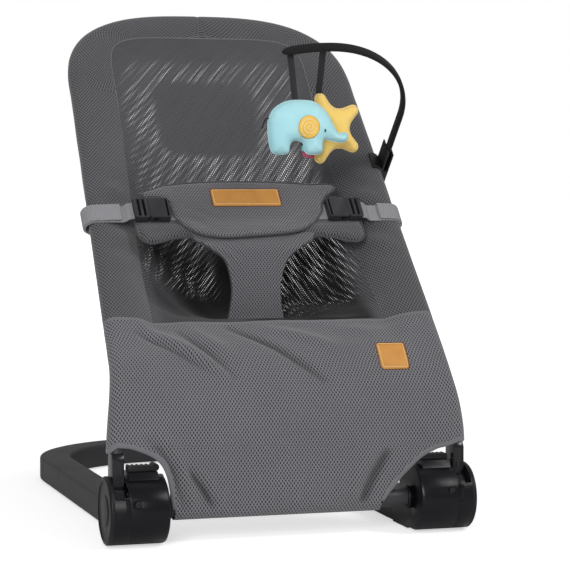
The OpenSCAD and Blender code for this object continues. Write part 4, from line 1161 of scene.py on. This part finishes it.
above_hem = zip(front_row(left_edge[-4].x, right_edge[-4].x), front_row(left_edge[-4].y, right_edge[-4].y))
stitches("hem_stitches", [[over_apron(x, s) for x, s in list(above_hem)[2:-2]]], grey_thread, "seat")
beside_edges = [[over_apron(q.x + sign * 0.0052, q.y + 0.0012) for q in edge[3:-1]]
                for edge, sign in ((left_edge, 1), (right_edge, -1))]
stitches("edge_stitches", beside_edges, grey_thread, "seat")


# ---- Belt: pad, flap and crotch strip ------------------------------------------
# A thin padded bar behind the belt, a curved flap over the webbing, and a narrow strip
# that flares from under the flap down into the pocket.


def pillow(name, outline, step, front, back, place, rim=0.0):
    """A closed stuffed form over a flat outline: front and back give its height at a distance from the edge.

    The form is filled with points about step apart; place puts one at its height on the seat."""
    edge_count = max(12, int(sum((b - a).length for a, b in zip(outline, outline[1:] + outline[:1])) / step))
    edge_points = curve_through(outline, edge_count, closed=True)
    low = Vector((min(p.x for p in edge_points), min(p.y for p in edge_points)))
    high = Vector((max(p.x for p in edge_points), max(p.y for p in edge_points)))
    ring = [(a, b, (b - a).length_squared) for a, b in zip(edge_points, edge_points[1:] + edge_points[:1])]

    def distance(p):
        """How far a point is from the edge, and whether the outline holds it."""
        best, inside = 1e9, False
        for a, b, size in ring:
            t = max(0.0, min(1.0, (p - a).dot(b - a) / size))
            best = min(best, (a + (b - a) * t - p).length)
            if (a.y > p.y) != (b.y > p.y) and p.x < (b.x - a.x) * (p.y - a.y) / (b.y - a.y) + a.x:
                inside = not inside
        return best, inside

    points = list(edge_points)
    depth = [0.0] * edge_count
    row_step = step * 0.866
    for i in range(int((high.y - low.y) / row_step) + 2):
        for j in range(int((high.x - low.x) / step) + 2):
            p = Vector((low.x + (j + 0.5 * (i % 2)) * step, low.y + i * row_step))
            away, inside = distance(p)
            if inside and away > 0.55 * step:
                points.append(p)
                depth.append(away)
    ring_edges = [(k, (k + 1) % edge_count) for k in range(edge_count)]
    flat_points, _, triangles, _, _, _ = delaunay_2d_cdt(points, ring_edges, [], 1, 1e-7)
    assert len(flat_points) == len(points)
    heights = [rim] * edge_count + [front(d, p) for p, d in zip(points[edge_count:], depth[edge_count:])]
    top = [place(p.x, p.y, height) for p, height in zip(points, heights)]
    under = [place(p.x, p.y, back(d, p)) for p, d in zip(points[edge_count:], depth[edge_count:])]
    shift = len(points) - edge_count
    faces = [tuple(t) for t in triangles]
    faces += [tuple(k if k < edge_count else k + shift for k in reversed(t)) for t in triangles]
    mesh = bpy.data.meshes.new(name)
    mesh.from_pydata(top + under, [], faces)
    layer = mesh.uv_layers.new(name="cloth")
    flat = points + points[edge_count:]
    for loop in mesh.loops:
        layer.data[loop.index].uv = flat[loop.vertex_index]
    outward(mesh)
    mesh.polygons.foreach_set("use_smooth", [True] * len(mesh.polygons))
    return mesh, edge_points


def dome(height, reach):
    """Height of a stuffed form at a distance from its edge: steep at the seam, flat inside."""
    return lambda d, p: height * math.sqrt(max(0.0, 1 - (1 - min(1.0, d / reach)) ** 2))


belt_s, pad_lift = 0.320, tube_skin + 0.0007
web_lift = pad_lift + 0.0033
flap_lift = web_lift + 0.0017


def on_pad(x, v, lift):
    """Places about the middle of the belt, on the padding's back."""
    return on_seat(x, belt_s + v, pad_lift + lift)


def mirrored(half):
    """A closed outline from its right half, listed from the top centre down."""
    return [Vector(p) for p in half] + [Vector((-x, y)) for x, y in reversed(half) if x > 0]


pad_outline = mirrored([
    (0.0, 0.026), (0.070, 0.026), (0.118, 0.026), (0.131, 0.017), (0.139, 0.000), (0.1415, -0.020),
    (0.140, -0.038), (0.131, -0.0465), (0.116, -0.0455), (0.098, -0.0395), (0.070, -0.0375), (0.035, -0.0377),
    (0.0, -0.0377)])


def pad_front(d, p):
    """Thin behind the webbing and buckles, fuller where it shows below them."""
    puff = 0.0036 * ease((-0.016 - p.y) / 0.010) * ease((abs(p.x) - 0.052) / 0.03)
    return dome(0.0030 + puff, 0.007)(d, p)


fine_cell = (0.0037, 0.0050)
knit_cloth = mesh_cloth("flap_mesh", (0.160, 0.157, 0.172), (0.010, 0.010, 0.011), fine_cell, 0.17, 0.10)
# The pad's knit is the flap's knit with darker yarn, as painted shade.
shaded_pad_cloth = mesh_cloth("shaded_pad_mesh", (0.115, 0.113, 0.124), (0.008, 0.008, 0.009), fine_cell, 0.19, 0.10)
# The piping of the pad, the flap and the strip is real, but its dark colour is painted shadow for the gaps along
# their edges.
shadow_dark_piping = close_weave("shadow_dark_piping", (0.055, 0.054, 0.060))
mesh, rim_line = pillow("belt_padding", pad_outline, 0.0042, pad_front, lambda d, p: -0.0004, on_pad, 0.0008)
pad = new_object("belt_padding", mesh, shaded_pad_cloth, "seat")
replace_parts(pad, "belt_pad")
piping = [on_pad(p.x, p.y, 0.0012) for p in rim_line]
welt("belt_pad_piping", piping, shadow_dark_piping, "seat", "twill", 0.0011, closed=True)

flap_outline = [Vector(p) for p in (
    (0.0, 0.0480), (0.040, 0.0470), (0.080, 0.0440), (0.106, 0.0405), (0.117, 0.0350), (0.111, 0.0275),
    (0.101, 0.0200), (0.0955, 0.0100), (0.0925, -0.0020), (0.084, -0.0140), (0.071, -0.0265), (0.060, -0.0345),
    (0.045, -0.0385),
    (0.020, -0.0415), (-0.010, -0.0440), (-0.035, -0.0455), (-0.058, -0.0430), (-0.074, -0.0365), (-0.086, -0.0235),
    (-0.0935, -0.0080), (-0.0960, 0.0060), (-0.1000, 0.0165), (-0.112, 0.0185), (-0.127, 0.0190), (-0.131, 0.0240),
    (-0.124, 0.0285), (-0.112, 0.0330), (-0.098, 0.0405), (-0.075, 0.0450), (-0.040, 0.0475))]
flap_puff = dome(0.0028, 0.010)


def flap_front(d, p):
    """Slightly stuffed, with shallow wrinkles that run in from the lower corners."""
    crease = math.sin((abs(p.x) * 0.8 - p.y * 1.3) * 210 + 2.0 * ripple(p.x, p.y, 0.03, 31.0))
    wrinkle = 0.0005 * crease * ease((abs(p.x) - 0.030) / 0.03) * ease((0.012 - p.y) / 0.02)
    return flap_puff(d, p) + min(1.0, d / 0.008) * (wrinkle + 0.0004 * ripple(p.x, p.y, 0.03, 30.0))


def on_flap(x, v, lift):
    """The flap follows the webbing and lifts a little over the tops of the buckles."""
    curl = 0.0045 * ease((abs(x) - 0.086) / 0.028) * ease((v - 0.008) / 0.016)
    curl += 0.0035 * ease((-0.012 - v) / 0.025)
    return on_seat(x, belt_s + v, flap_lift + lift + curl)


mesh, rim_line = pillow("belt_flap_cover", flap_outline, 0.0036, flap_front, lambda d, p: 0.0, on_flap, 0.0009)
flap = new_object("belt_flap_cover", mesh, knit_cloth, "seat")
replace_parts(flap, "belt_flap")
piping = [on_flap(p.x, p.y, 0.0010) for p in rim_line]
welt("flap_piping", piping, shadow_dark_piping, "seat", "twill", 0.0012, closed=True)
flap_middle, stitch_inset = Vector((0, 0.003)), 0.0048
inset = []
for a, b in zip(rim_line, rim_line[1:] + rim_line[:1]):
    across = Vector((b.y - a.y, a.x - b.x)).normalized()
    p = (a + b) / 2 - across * stitch_inset * (1 if across.dot(a - flap_middle) > 0 else -1)
    inset.append(on_flap(p.x, p.y, flap_puff(stitch_inset, p) + 0.0002))
stitches("flap_stitches", [inset + inset[:1]], grey_thread, "seat")

# The strip's course: how far up the seat, its height, and half its width
strip_line = [Vector(p) for p in (
    (0.286, 0.0124, 0.078), (0.274, 0.0122, 0.069), (0.265, 0.0100, 0.053), (0.256, 0.0030, 0.0395),
    (0.243, -0.0095, 0.0320), (0.228, -0.0245, 0.0292), (0.211, -0.0420, 0.0320), (0.203, -0.0500, 0.0345))]
strip_steps = 26
strip_rows = []
for i, (s, height, half) in enumerate(curve_through(strip_line, 44)):
    row = []
    for k in range(strip_steps + 1):
        f = 2 * k / strip_steps - 1
        crease = math.sin((abs(f) * 30 + i) * 0.55) * ease((abs(f) - 0.2) / 0.3) * 0.0006
        lift = height + 0.0034 * (1 - f * f) * ease(i / 16) + crease * ease((30 - i) / 12)
        row.append(on_seat(f * half, s, lift + 0.0005 * ripple(f * half, s, 0.02, 33.0)))
    strip_rows.append(row)
strip = new_object("crotch_strip_cloth", grid_mesh("crotch_strip_cloth", strip_rows), knit_cloth, "seat")
flat_size, area = cloth_area(strip_rows)
thickened(strip, 0.0022)
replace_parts(strip, "crotch_strip")
for side, column in (("left", 0), ("right", strip_steps)):
    line = [row[column] + Vector((0, 0.0008, -0.0008)) for row in strip_rows]
    welt(f"{side}_strip_piping", line, shadow_dark_piping, "seat", "twill", 0.0013)
ribs = [[row[column] + Vector((0, -0.0003, 0.0003)) for row in strip_rows] for column in (3, 9, 13, 17, 23)]
stitches("strip_stitches", ribs, grey_thread, "seat")

# ---- Leather patches -----------------------------------------------------------
# Two bare leather patches, one on the flap and one on the apron, each with rounded
# corners and a row of paler stitches along its edge.
leather_tan = (0.60, 0.275, 0.062)
leather = Shader("patch_leather", leather_tan, 0.52, Specular_IOR_Level=0.35)
pores = leather.node("ShaderNodeTexVoronoi", Scale=1300.0)
leather.join(leather.place(), pores.inputs["Vector"])
amount = leather.ranged(leather.clouds(60.0, 5.0), To_Min=0.78, To_Max=1.22)
leather.feed("Base Color", leather.scaled(leather_tan, amount))
leather.relief(pores.outputs["Distance"], 0.00012)
pale_thread = close_weave("pale_thread", (0.80, 0.52, 0.22), 0.7, 0.1)
burnt_edge = close_weave("burnt_edge", (0.13, 0.045, 0.015), 0.6, 0.0)


def rounded_outline(half_x, half_y, r):
    """A rectangle with round corners, about its middle."""
    points = []
    for sx, sy, start in ((1, 1, 0), (-1, 1, 90), (-1, -1, 180), (1, -1, 270)):
        for k in range(5):
            a = math.radians(start + 22.5 * k)
            points.append(Vector((sx * (half_x - r) + r * math.cos(a), sy * (half_y - r) + r * math.sin(a))))
    return points


def leather_patch(name, half_x, half_y, radius, place, node):
    """A bare patch of thin leather with its cut edge and its row of stitches."""
    mesh, rim_line = pillow(
        name, rounded_outline(half_x, half_y, radius), 0.0016, dome(0.0016, 0.0018), lambda d, p: 0.0, place, 0.0005)
    patch = new_object(name, mesh, leather.material, "seat")
    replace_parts(patch, node)
    edge = [place(p.x, p.y, 0.0008) for p in rim_line]
    welt(f"{name}_cut_edge", edge, burnt_edge, "seat", "leather", 0.0005, 6, closed=True)
    margin = 0.0026
    outline = rounded_outline(half_x - margin, half_y - margin, max(0.0008, radius - margin))
    line = curve_through([place(p.x, p.y, 0.0022) for p in outline], 160, closed=True)
    stitches(f"{name}_stitches", [line], pale_thread, "seat", 0.0030, 0.0017, 0.00065)


def on_flap_front(x, v, lift):
    """Places on the flap's stuffed face about the centre of its patch."""
    return on_flap(x, v + 0.020, flap_puff(0.02, None) + lift - 0.0006)


def on_apron(x, v, lift):
    """Places on the apron about the centre of its patch."""
    patch_s = 0.098
    x, s = tube_x(patch_s) - 0.0585 + x, patch_s + v
    return on_seat(x, s, apron_lift(x, s) + lift + 0.0002)


leather_patch("belt_leather", 0.0433, 0.0142, 0.0018, on_flap_front, "belt_patch")
leather_patch("apron_leather", 0.0178, 0.0178, 0.0042, on_apron, "apron_patch")


# ---- Belt: webbing, straps and buckles -----------------------------------------
# 25 mm webbing behind the flap, a black side-release buckle at each end, and a strap on
# each side that is looped round the tube and sewn back to itself.


def woven_tape(name, color):
    """Flat woven tape: fine ribs along and across, a little sheen."""
    made = Shader(name, color, 0.72, Sheen_Weight=0.2, Sheen_Roughness=0.4, Specular_IOR_Level=0.35)
    at = made.node("ShaderNodeSeparateXYZ")
    made.join(made.node("ShaderNodeUVMap", uv_map="cloth").outputs[0], at.inputs[0])
    waves = [made.combined("SINE", made.combined("MULTIPLY", at.outputs[socket], 2 * math.pi / period))
             for socket, period in (("X", 0.0021), ("Y", 0.0013))]
    ribs = made.combined("ADD", *waves)
    amount = made.ranged(ribs, From_Min=-2, From_Max=2, To_Min=0.8, To_Max=1.15)
    made.feed("Base Color", made.scaled(color, amount))
    made.relief(ribs, 0.0002)
    return made.material


strap_webbing = woven_tape("strap_webbing", (0.30, 0.295, 0.315))
web_half, web_t = 0.0125, 0.0014
loop_r = tube_skin + 0.001 + web_t
bar_lift = pad_lift + 0.0033 + 0.003
buckle_end = 0.099 + 0.043


def webbing(name, path, body):
    """A flat tape with soft edges along a path of (x, lift), centred on the belt line."""
    facing = [Vector((b.y - a.y, a.x - b.x)).normalized() for a, b in zip(path[:1] + path, path[1:] + path[-1:])]
    along = [0.0]
    for a, b in zip(path, path[1:]):
        along.append(along[-1] + (b - a).length)
    shares = [2 * k / 12 - 1 for k in range(13)]
    tape_rows = []
    for p, n in zip(path, facing):
        row = []
        for f in shares:
            edge_drop = 0.00025 * max(0.0, abs(f) - 0.8) / 0.2
            q = p + n * (web_t / 2 - edge_drop)
            row.append(on_seat(q.x, belt_s + f * web_half, q.y))
        tape_rows.append(row)
    flat_map = [[(u, f * web_half) for f in shares] for u in along]
    made = new_object(name, grid_mesh(name, tape_rows, False, flat_map), strap_webbing, body)
    thickened(made, web_t)
    return made


def on_side(points, count, sign):
    """A smooth path on one side of the seat, run so that a tape along it faces outwards."""
    path = [Vector((sign * p.x, p.y)) for p in curve_through(points, count)]
    return path if sign < 0 else path[::-1]


# Each strap leaves its buckle, goes round the tube and back; its sewn end lies on it in a second layer
edge_x = tube_x(belt_s)
for side, sign, slack, fold_reach in (("left", -1, 0.0055, 0.026), ("right", 1, 0.0015, 0.016)):
    path = [Vector((buckle_end + 0.0007, bar_lift + 0.0007)), Vector((buckle_end + 0.0062, bar_lift - 0.0004)),
            Vector((buckle_end + 0.0127, loop_r - 0.0007)), Vector((edge_x - 0.012, loop_r - 0.0005))]
    loop = []
    for k in range(25):
        a = math.radians(90 - 7.5 * k)
        out = loop_r - 0.0007 + slack * max(0.0, math.cos(a)) ** 2
        loop.append(Vector((edge_x + out * math.cos(a), out * math.sin(a))))
    path += loop + [Vector((edge_x - 0.022, 0.0007 - loop_r))]
    double = [Vector((edge_x - fold_reach, loop_r + 0.0018)), Vector((edge_x - fold_reach / 2, loop_r + 0.0014))]
    double += [p + (p - Vector((edge_x, 0))).normalized() * 0.0016 for p in loop[:17]]
    fold = webbing(f"{side}_strap_fold", on_side(double, 50, sign), f"{side}_tongue")
    fold.data.transform(Matrix.Translation((0, 0, 0.0012)))
    strap = webbing(f"{side}_strap_webbing", on_side(path, 70, sign), f"{side}_tongue")
    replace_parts(strap, f"{side}_strap")
belt_path = [Vector((mix(0.0987, -0.0987, k / 30), web_lift + web_t / 2)) for k in range(31)]
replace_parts(webbing("belt_webbing_tape", belt_path, "seat"), "belt_webbing")

buckle_plastic = plastic(
    "buckle_plastic", (0.027, 0.027, 0.031), 0.32, bump=0.00003, worn=0.1, Specular_IOR_Level=0.4)
for side in ("left", "right"):
    eased(f"{side}_buckle_body", f"{side}_buckle_socket", buckle_plastic, "seat", 0.0006)
    eased(f"{side}_buckle_tongue", f"{side}_buckle_clip", buckle_plastic, f"{side}_tongue", 0.0005)


# ---- Toy bar -------------------------------------------------------------------
# A clip over the right-hand tube holds an arched padded band that tapers and droops
# towards its free end; the two toys hang from it on black ribbons.
clip_plastic = plastic("clip_plastic", (0.011, 0.011, 0.012), 0.4, bump=0.00004)
eased("toy_clip", "toy_bar_clip", clip_plastic, "toy_bar", 0.0006)
band_x, band_rise, band_r, droop_r, band_end = 0.19628, 0.205, 0.112, 0.200, 0.022
core_x = band_x - band_r
band_path = [Vector((band_x, 0.0045)), Vector((band_x, 0.035)), Vector((band_x, 0.065))]
for k in range(25):
    a = math.radians(90 * k / 24)
    band_path.append(Vector((core_x + band_r * math.cos(a), band_rise - band_r + band_r * math.sin(a))))
end_a = math.asin((core_x - band_end) / droop_r)
for k in range(1, 13):
    a = math.pi / 2 + end_a * k / 12
    band_path.append(Vector((core_x + droop_r * math.cos(a), band_rise - droop_r + droop_r * math.sin(a))))
band_path = curve_through(band_path, 110)


def squared(value, power):
    """A cosine or sine made squarer by a power below 1, for a flattened section."""
    return math.copysign(abs(value) ** power, value)


rings, last = [], len(band_path) - 1
for i, p in enumerate(band_path):
    a, b = band_path[max(0, i - 1)], band_path[min(last, i + 1)]
    n = Vector((b.y - a.y, a.x - b.x)).normalized()
    end = min(1.0, (last - i) / 5)
    shrink = math.sqrt(max(0.02, 1 - (1 - end) ** 2)) if end < 1 else 1.0
    pucker = 1 + 0.02 * noise.noise(Vector((i * 0.35, 0, 0)))
    ring = []
    for around in (2 * math.pi * k / 20 for k in range(20)):
        wide = 0.0066 * shrink * squared(math.cos(around), 0.6) * pucker
        q = p + n * (0.0027 * squared(math.sin(around), 0.8) * (0.45 + 0.55 * shrink))
        ring.append(on_seat(q.x, clip_s + wide, q.y))
    rings.append(ring)
black_band = close_weave("black_band", (0.006, 0.006, 0.007), 0.85, 0.05, 0.0002, 1300.0)
band = new_object("toy_band_cover", lofted("toy_band_cover", rings), black_band, "toy_bar")
settled(band, 60)
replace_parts(band, "toy_band")
for name, v in (("band_stitches_low", -0.0052), ("band_stitches_high", 0.0052)):
    line = []
    for a, p, b in zip(band_path[7:], band_path[8:-7], band_path[9:]):
        n = Vector((b.y - a.y, a.x - b.x)).normalized() * 0.0021
        line.append(on_seat(p.x + n.x, clip_s + v, p.y + n.y))
    stitches(name, [line], black_band, "toy_bar", 0.003, 0.001, 0.0002)


# ---- Toys ----------------------------------------------------------------------
# A plush elephant and a plush star, each cut from two flat pieces and stuffed, on a
# black ribbon sewn to the band.
black_ribbon = close_weave("black_ribbon", (0.012, 0.012, 0.013), 0.6, 0.1, 0.0001, 1800.0)


def toy_ribbon(name, joint, lean, length, body, node):
    """A flat ribbon hanging from the band, 8 mm wide, with a little slack; returns its lower end."""
    top = Vector(joints[joint]["pos_m"])
    lean = math.radians(lean)
    down = Vector((0, math.sin(lean), -math.cos(lean)))
    face = down.cross(Vector((1, 0, 0)))
    path = [top + down * (length * k / 24) + face * (0.0007 * math.sin(math.pi * k / 24)) for k in range(25)]
    section = []
    for around in (2 * math.pi * k / 12 for k in range(12)):
        across = Vector((0.004 * squared(math.cos(around), 0.4), 0, 0))
        section.append(across + face * (0.00055 * squared(math.sin(around), 0.5)))
    mesh = lofted(name, [[p + q for q in section] for p in path])
    made = new_object(name, mesh, black_ribbon, body)
    settled(made, 45)
    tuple(path[0])
    sum((b - a).length for a, b in zip(path, path[1:]))
    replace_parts(made, node)
    return path[-1]


elephant_top = toy_ribbon("elephant_hanger", "elephant_swing", -20, 0.057, "elephant", "elephant_ribbon")
star_top = toy_ribbon("star_hanger", "star_swing", 19, 0.053, "star", "star_ribbon")
elephant_at = elephant_top + Vector((0.0158, 0, -0.0316))
star_reach, star_tilt = 0.0432, math.radians(18)
star_at = star_top + Vector((star_reach * math.sin(star_tilt), 0, -star_reach * math.cos(star_tilt) - 0.0005))


def plush(name, color, warm):
    """Short-pile plush: soft sheen, tiny uneven fibres, slow change of tone."""
    made = Shader(name, color, 0.85, Sheen_Weight=0.5, Sheen_Roughness=0.35, Specular_IOR_Level=0.2)
    share = made.ranged(made.clouds(55.0, 4.0), From_Min=0.3, From_Max=0.7)
    made.feed("Base Color", made.mixed(color, warm, share))
    made.relief(made.clouds(1500.0, 3.0), 0.0003)
    return made.material


def plush_toy(name, centre, outline, half, reach, seed, material, body, slot_name):
    """A stuffed body about its centre, puckered a little along its seam; returns the seam's flat line."""
    def rise(d, p):
        """Height of the plush over the seam's plane."""
        pucker = 0.0004 * math.exp(-d / 0.004) * math.sin(420 * (p.x + 1.3 * p.y) + seed)
        return dome(half, reach)(d, p) + pucker + 0.0005 * noise.noise(Vector((p.x * 60, p.y * 60, seed)))

    mesh, rim_line = pillow(
        f"{name}_plush_body", outline, 0.0021, rise, lambda d, p: -rise(d, p),
        lambda u, v, lift: centre + Vector((u, -lift, v)))
    made = new_object(f"{name}_plush_body", mesh, material, body)
    settled(made, 80)
    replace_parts(made, f"{name}_body")
    seam = [centre + Vector((p.x, 0, p.y)) for p in rim_line]
    welt(f"{name}_seam", seam, material, body, slot_name, 0.0005, 6, closed=True)
    return rim_line


elephant_plush = plush("elephant_plush", (0.45, 0.77, 0.81), (0.38, 0.70, 0.77))
elephant_outline = [Vector((x / 1000, z / 1000)) for x, z in (
    (-49, 1), (-48.5, 7), (-46, 14), (-42, 20), (-36, 25), (-28, 29), (-18, 31), (-4, 31), (5, 30), (13, 26),
    (20, 20.5), (26, 12.5), (30, 5), (34, -2.5), (37.5, -7), (42, -7), (46, -6), (49, -8), (49.5, -11.5),
    (48, -15.5), (44, -18), (36, -17.5), (28, -16), (22, -14.5), (19, -15), (18.2, -19), (18, -26), (16.5, -30),
    (12, -32), (5, -32.4), (-1, -31.5), (-3.7, -28), (-5, -23), (-6.3, -19), (-9.7, -16.5), (-15, -16), (-19, -17),
    (-21.8, -20.5), (-22.7, -26), (-23.7, -30), (-27.5, -32), (-35, -32.2), (-42, -31), (-45.3, -27.5), (-47, -21),
    (-48.7, -10))]
elephant_half, elephant_reach = 0.0145, 0.022
rim_line = plush_toy(
    "elephant", elephant_at, elephant_outline, elephant_half, elephant_reach, 4.0, elephant_plush, "elephant",
    "plush_blue")


def on_elephant(front):
    """Places on either face of the elephant, a little proud of the plush."""
    def place(u, v, lift):
        """A place on that face, from the middle of the elephant."""
        p = Vector((u, v))
        gap = near_line(p, rim_line + rim_line[:1])[0]
        return elephant_at + Vector((u, -front * (dome(elephant_half, elephant_reach)(gap, p) + 0.0003 + lift), v))
    return place


def oval(at, half_x, half_y, count):
    """Points round an oval about its middle."""
    return [Vector((at.x + half_x * math.cos(a), at.y + half_y * math.sin(a)))
            for a in (2 * math.pi * k / count for k in range(count))]


ear_cloth = plush("ear_cloth", (0.82, 0.50, 0.085), (0.86, 0.56, 0.12))
pale_yarn = close_weave("pale_yarn", (0.9, 0.76, 0.5), 0.8, 0.2)
eye_shine = Shader("eye_shine", (0.012, 0.018, 0.024), 0.12, Coat_Weight=0.5)
ear_at, eye_at = Vector((-0.0028, -0.0005)), Vector((0.0175, -0.0045))
for face, sign in (("front", 1), ("back", -1)):
    place = on_elephant(sign)
    mesh, _ = pillow(
        f"elephant_ear_{face}", oval(ear_at, 0.0132, 0.0138, 20), 0.0016, dome(0.0014, 0.002), lambda d, p: -0.0004,
        place, 0.0002)
    ear = new_object(f"elephant_ear_{face}", mesh, ear_cloth, "elephant")
    spiral = []
    for k in range(150):
        f = k / 149
        a = math.radians(250 - 900 * (1 - f))
        r = 0.0008 + 0.0098 * f
        spiral.append(place(ear_at.x + r * math.cos(a), ear_at.y + 1.05 * r * math.sin(a), 0.0016))
    welt(f"ear_spiral_{face}", spiral, pale_yarn, "elephant", "plush_yellow", 0.00042, 6)
    mesh, _ = pillow(
        f"elephant_eye_{face}", oval(eye_at, 0.0012, 0.0020, 12), 0.0006, dome(0.0009, 0.0011), lambda d, p: -0.0003,
        place)
    eye = new_object(f"elephant_eye_{face}", mesh, eye_shine.material, "elephant")
    if sign > 0:
        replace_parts(ear, "elephant_ears")
        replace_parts(eye, "elephant_eyes")
tail_line = curve_through([elephant_at + Vector((x, 0, z)) for x, z in (
    (-0.0470, 0.0085), (-0.0492, 0.0098), (-0.0512, 0.0090), (-0.0530, 0.0060), (-0.0546, 0.0020),
    (-0.0560, -0.0022))], 20)
tail = welt("elephant_tail_cord", tail_line, black_ribbon, "elephant", "ribbon", 0.0009)
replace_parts(tail, "elephant_tail")

star_plush = plush("star_plush", (0.92, 0.62, 0.16), (0.94, 0.68, 0.20))
# Half of one arm, from its tip to the notch beside it: degrees from the tip, and share of the reach
half_arm = ((0, 1.0), (4, 0.99), (8.5, 0.93), (12.5, 0.81), (20, 0.665), (29, 0.60), (36, 0.582))
arm = [(-turned, share) for turned, share in half_arm[-2:0:-1]] + list(half_arm)
star_outline = []
for k in range(5):
    for turned, share in arm:
        a = math.radians(90 + math.degrees(star_tilt) + 72 * k + turned)
        star_outline.append(Vector((star_reach * share * math.cos(a), star_reach * share * math.sin(a))))
plush_toy("star", star_at, star_outline, 0.0118, 0.017, 9.0, star_plush, "star", "plush_yellow")

tag_tones = {"black": (0.015, 0.015, 0.017), "blue": (0.27, 0.72, 0.72), "rose": (0.42, 0.075, 0.12)}
for k, (tone_name, tone) in enumerate(tag_tones.items()):
    cloth = close_weave(f"tag_{tone_name}", tone, 0.8, 0.15)
    inner = star_at + Vector((-0.0195 + 0.00075 * k, 0, -0.0200 - 0.0066 * k))
    tag_rows = []
    for i in range(13):
        f = i / 12
        p = inner + Vector((-0.0150 * f, 0.0006 * math.sin(3 * f), 0.0032 * f - 0.0006 * math.sin(math.pi * f)))
        tag_rows.append([p + Vector((0.0004 * w, 0, 0.0029 * w)) for w in (-1, -0.5, 0, 0.5, 1)])
    tag = new_object(f"star_tag_{tone_name}", grid_mesh(f"star_tag_{tone_name}", tag_rows), cloth, "star")
    thickened(tag, 0.0012)
    if k == 0:
        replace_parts(tag, "star_tags")


# ---- Tubes, screws and latch parts ---------------------------------------------
# The tubes are steel with a black paint; the screws are blackened, the lock pins and
# their springs are bare steel, and the lock plates are zinc-plated.


def metal(name, color, roughness):
    """Metal with rubbed patches in its gloss."""
    made = Shader(name, color, roughness, Metallic=1.0)
    mould = made.node("ShaderNodeGroup", node_tree=grain)
    made.feed("Roughness", made.ranged(mould.outputs["Wear"], To_Min=roughness, To_Max=roughness + 0.12))
    return made.material


paint = plastic("tube_paint", (0.03, 0.03, 0.033), 0.4, bump=0.00002, worn=0.1)
finished("cross_tube", paint)
finished("seat_frame_tube", paint)
finished("hub_screws", metal("black_steel", (0.05, 0.05, 0.055), 0.4))
steel = metal("pin_steel", (0.42, 0.42, 0.44), 0.32)
zinc = metal("zinc_plate", (0.55, 0.56, 0.58), 0.38)
for side in ("left", "right"):
    finished(f"{side}_lock_pin", steel)
    finished(f"{side}_pin_spring", steel)
    finished(f"{side}_lock_plate", zinc)
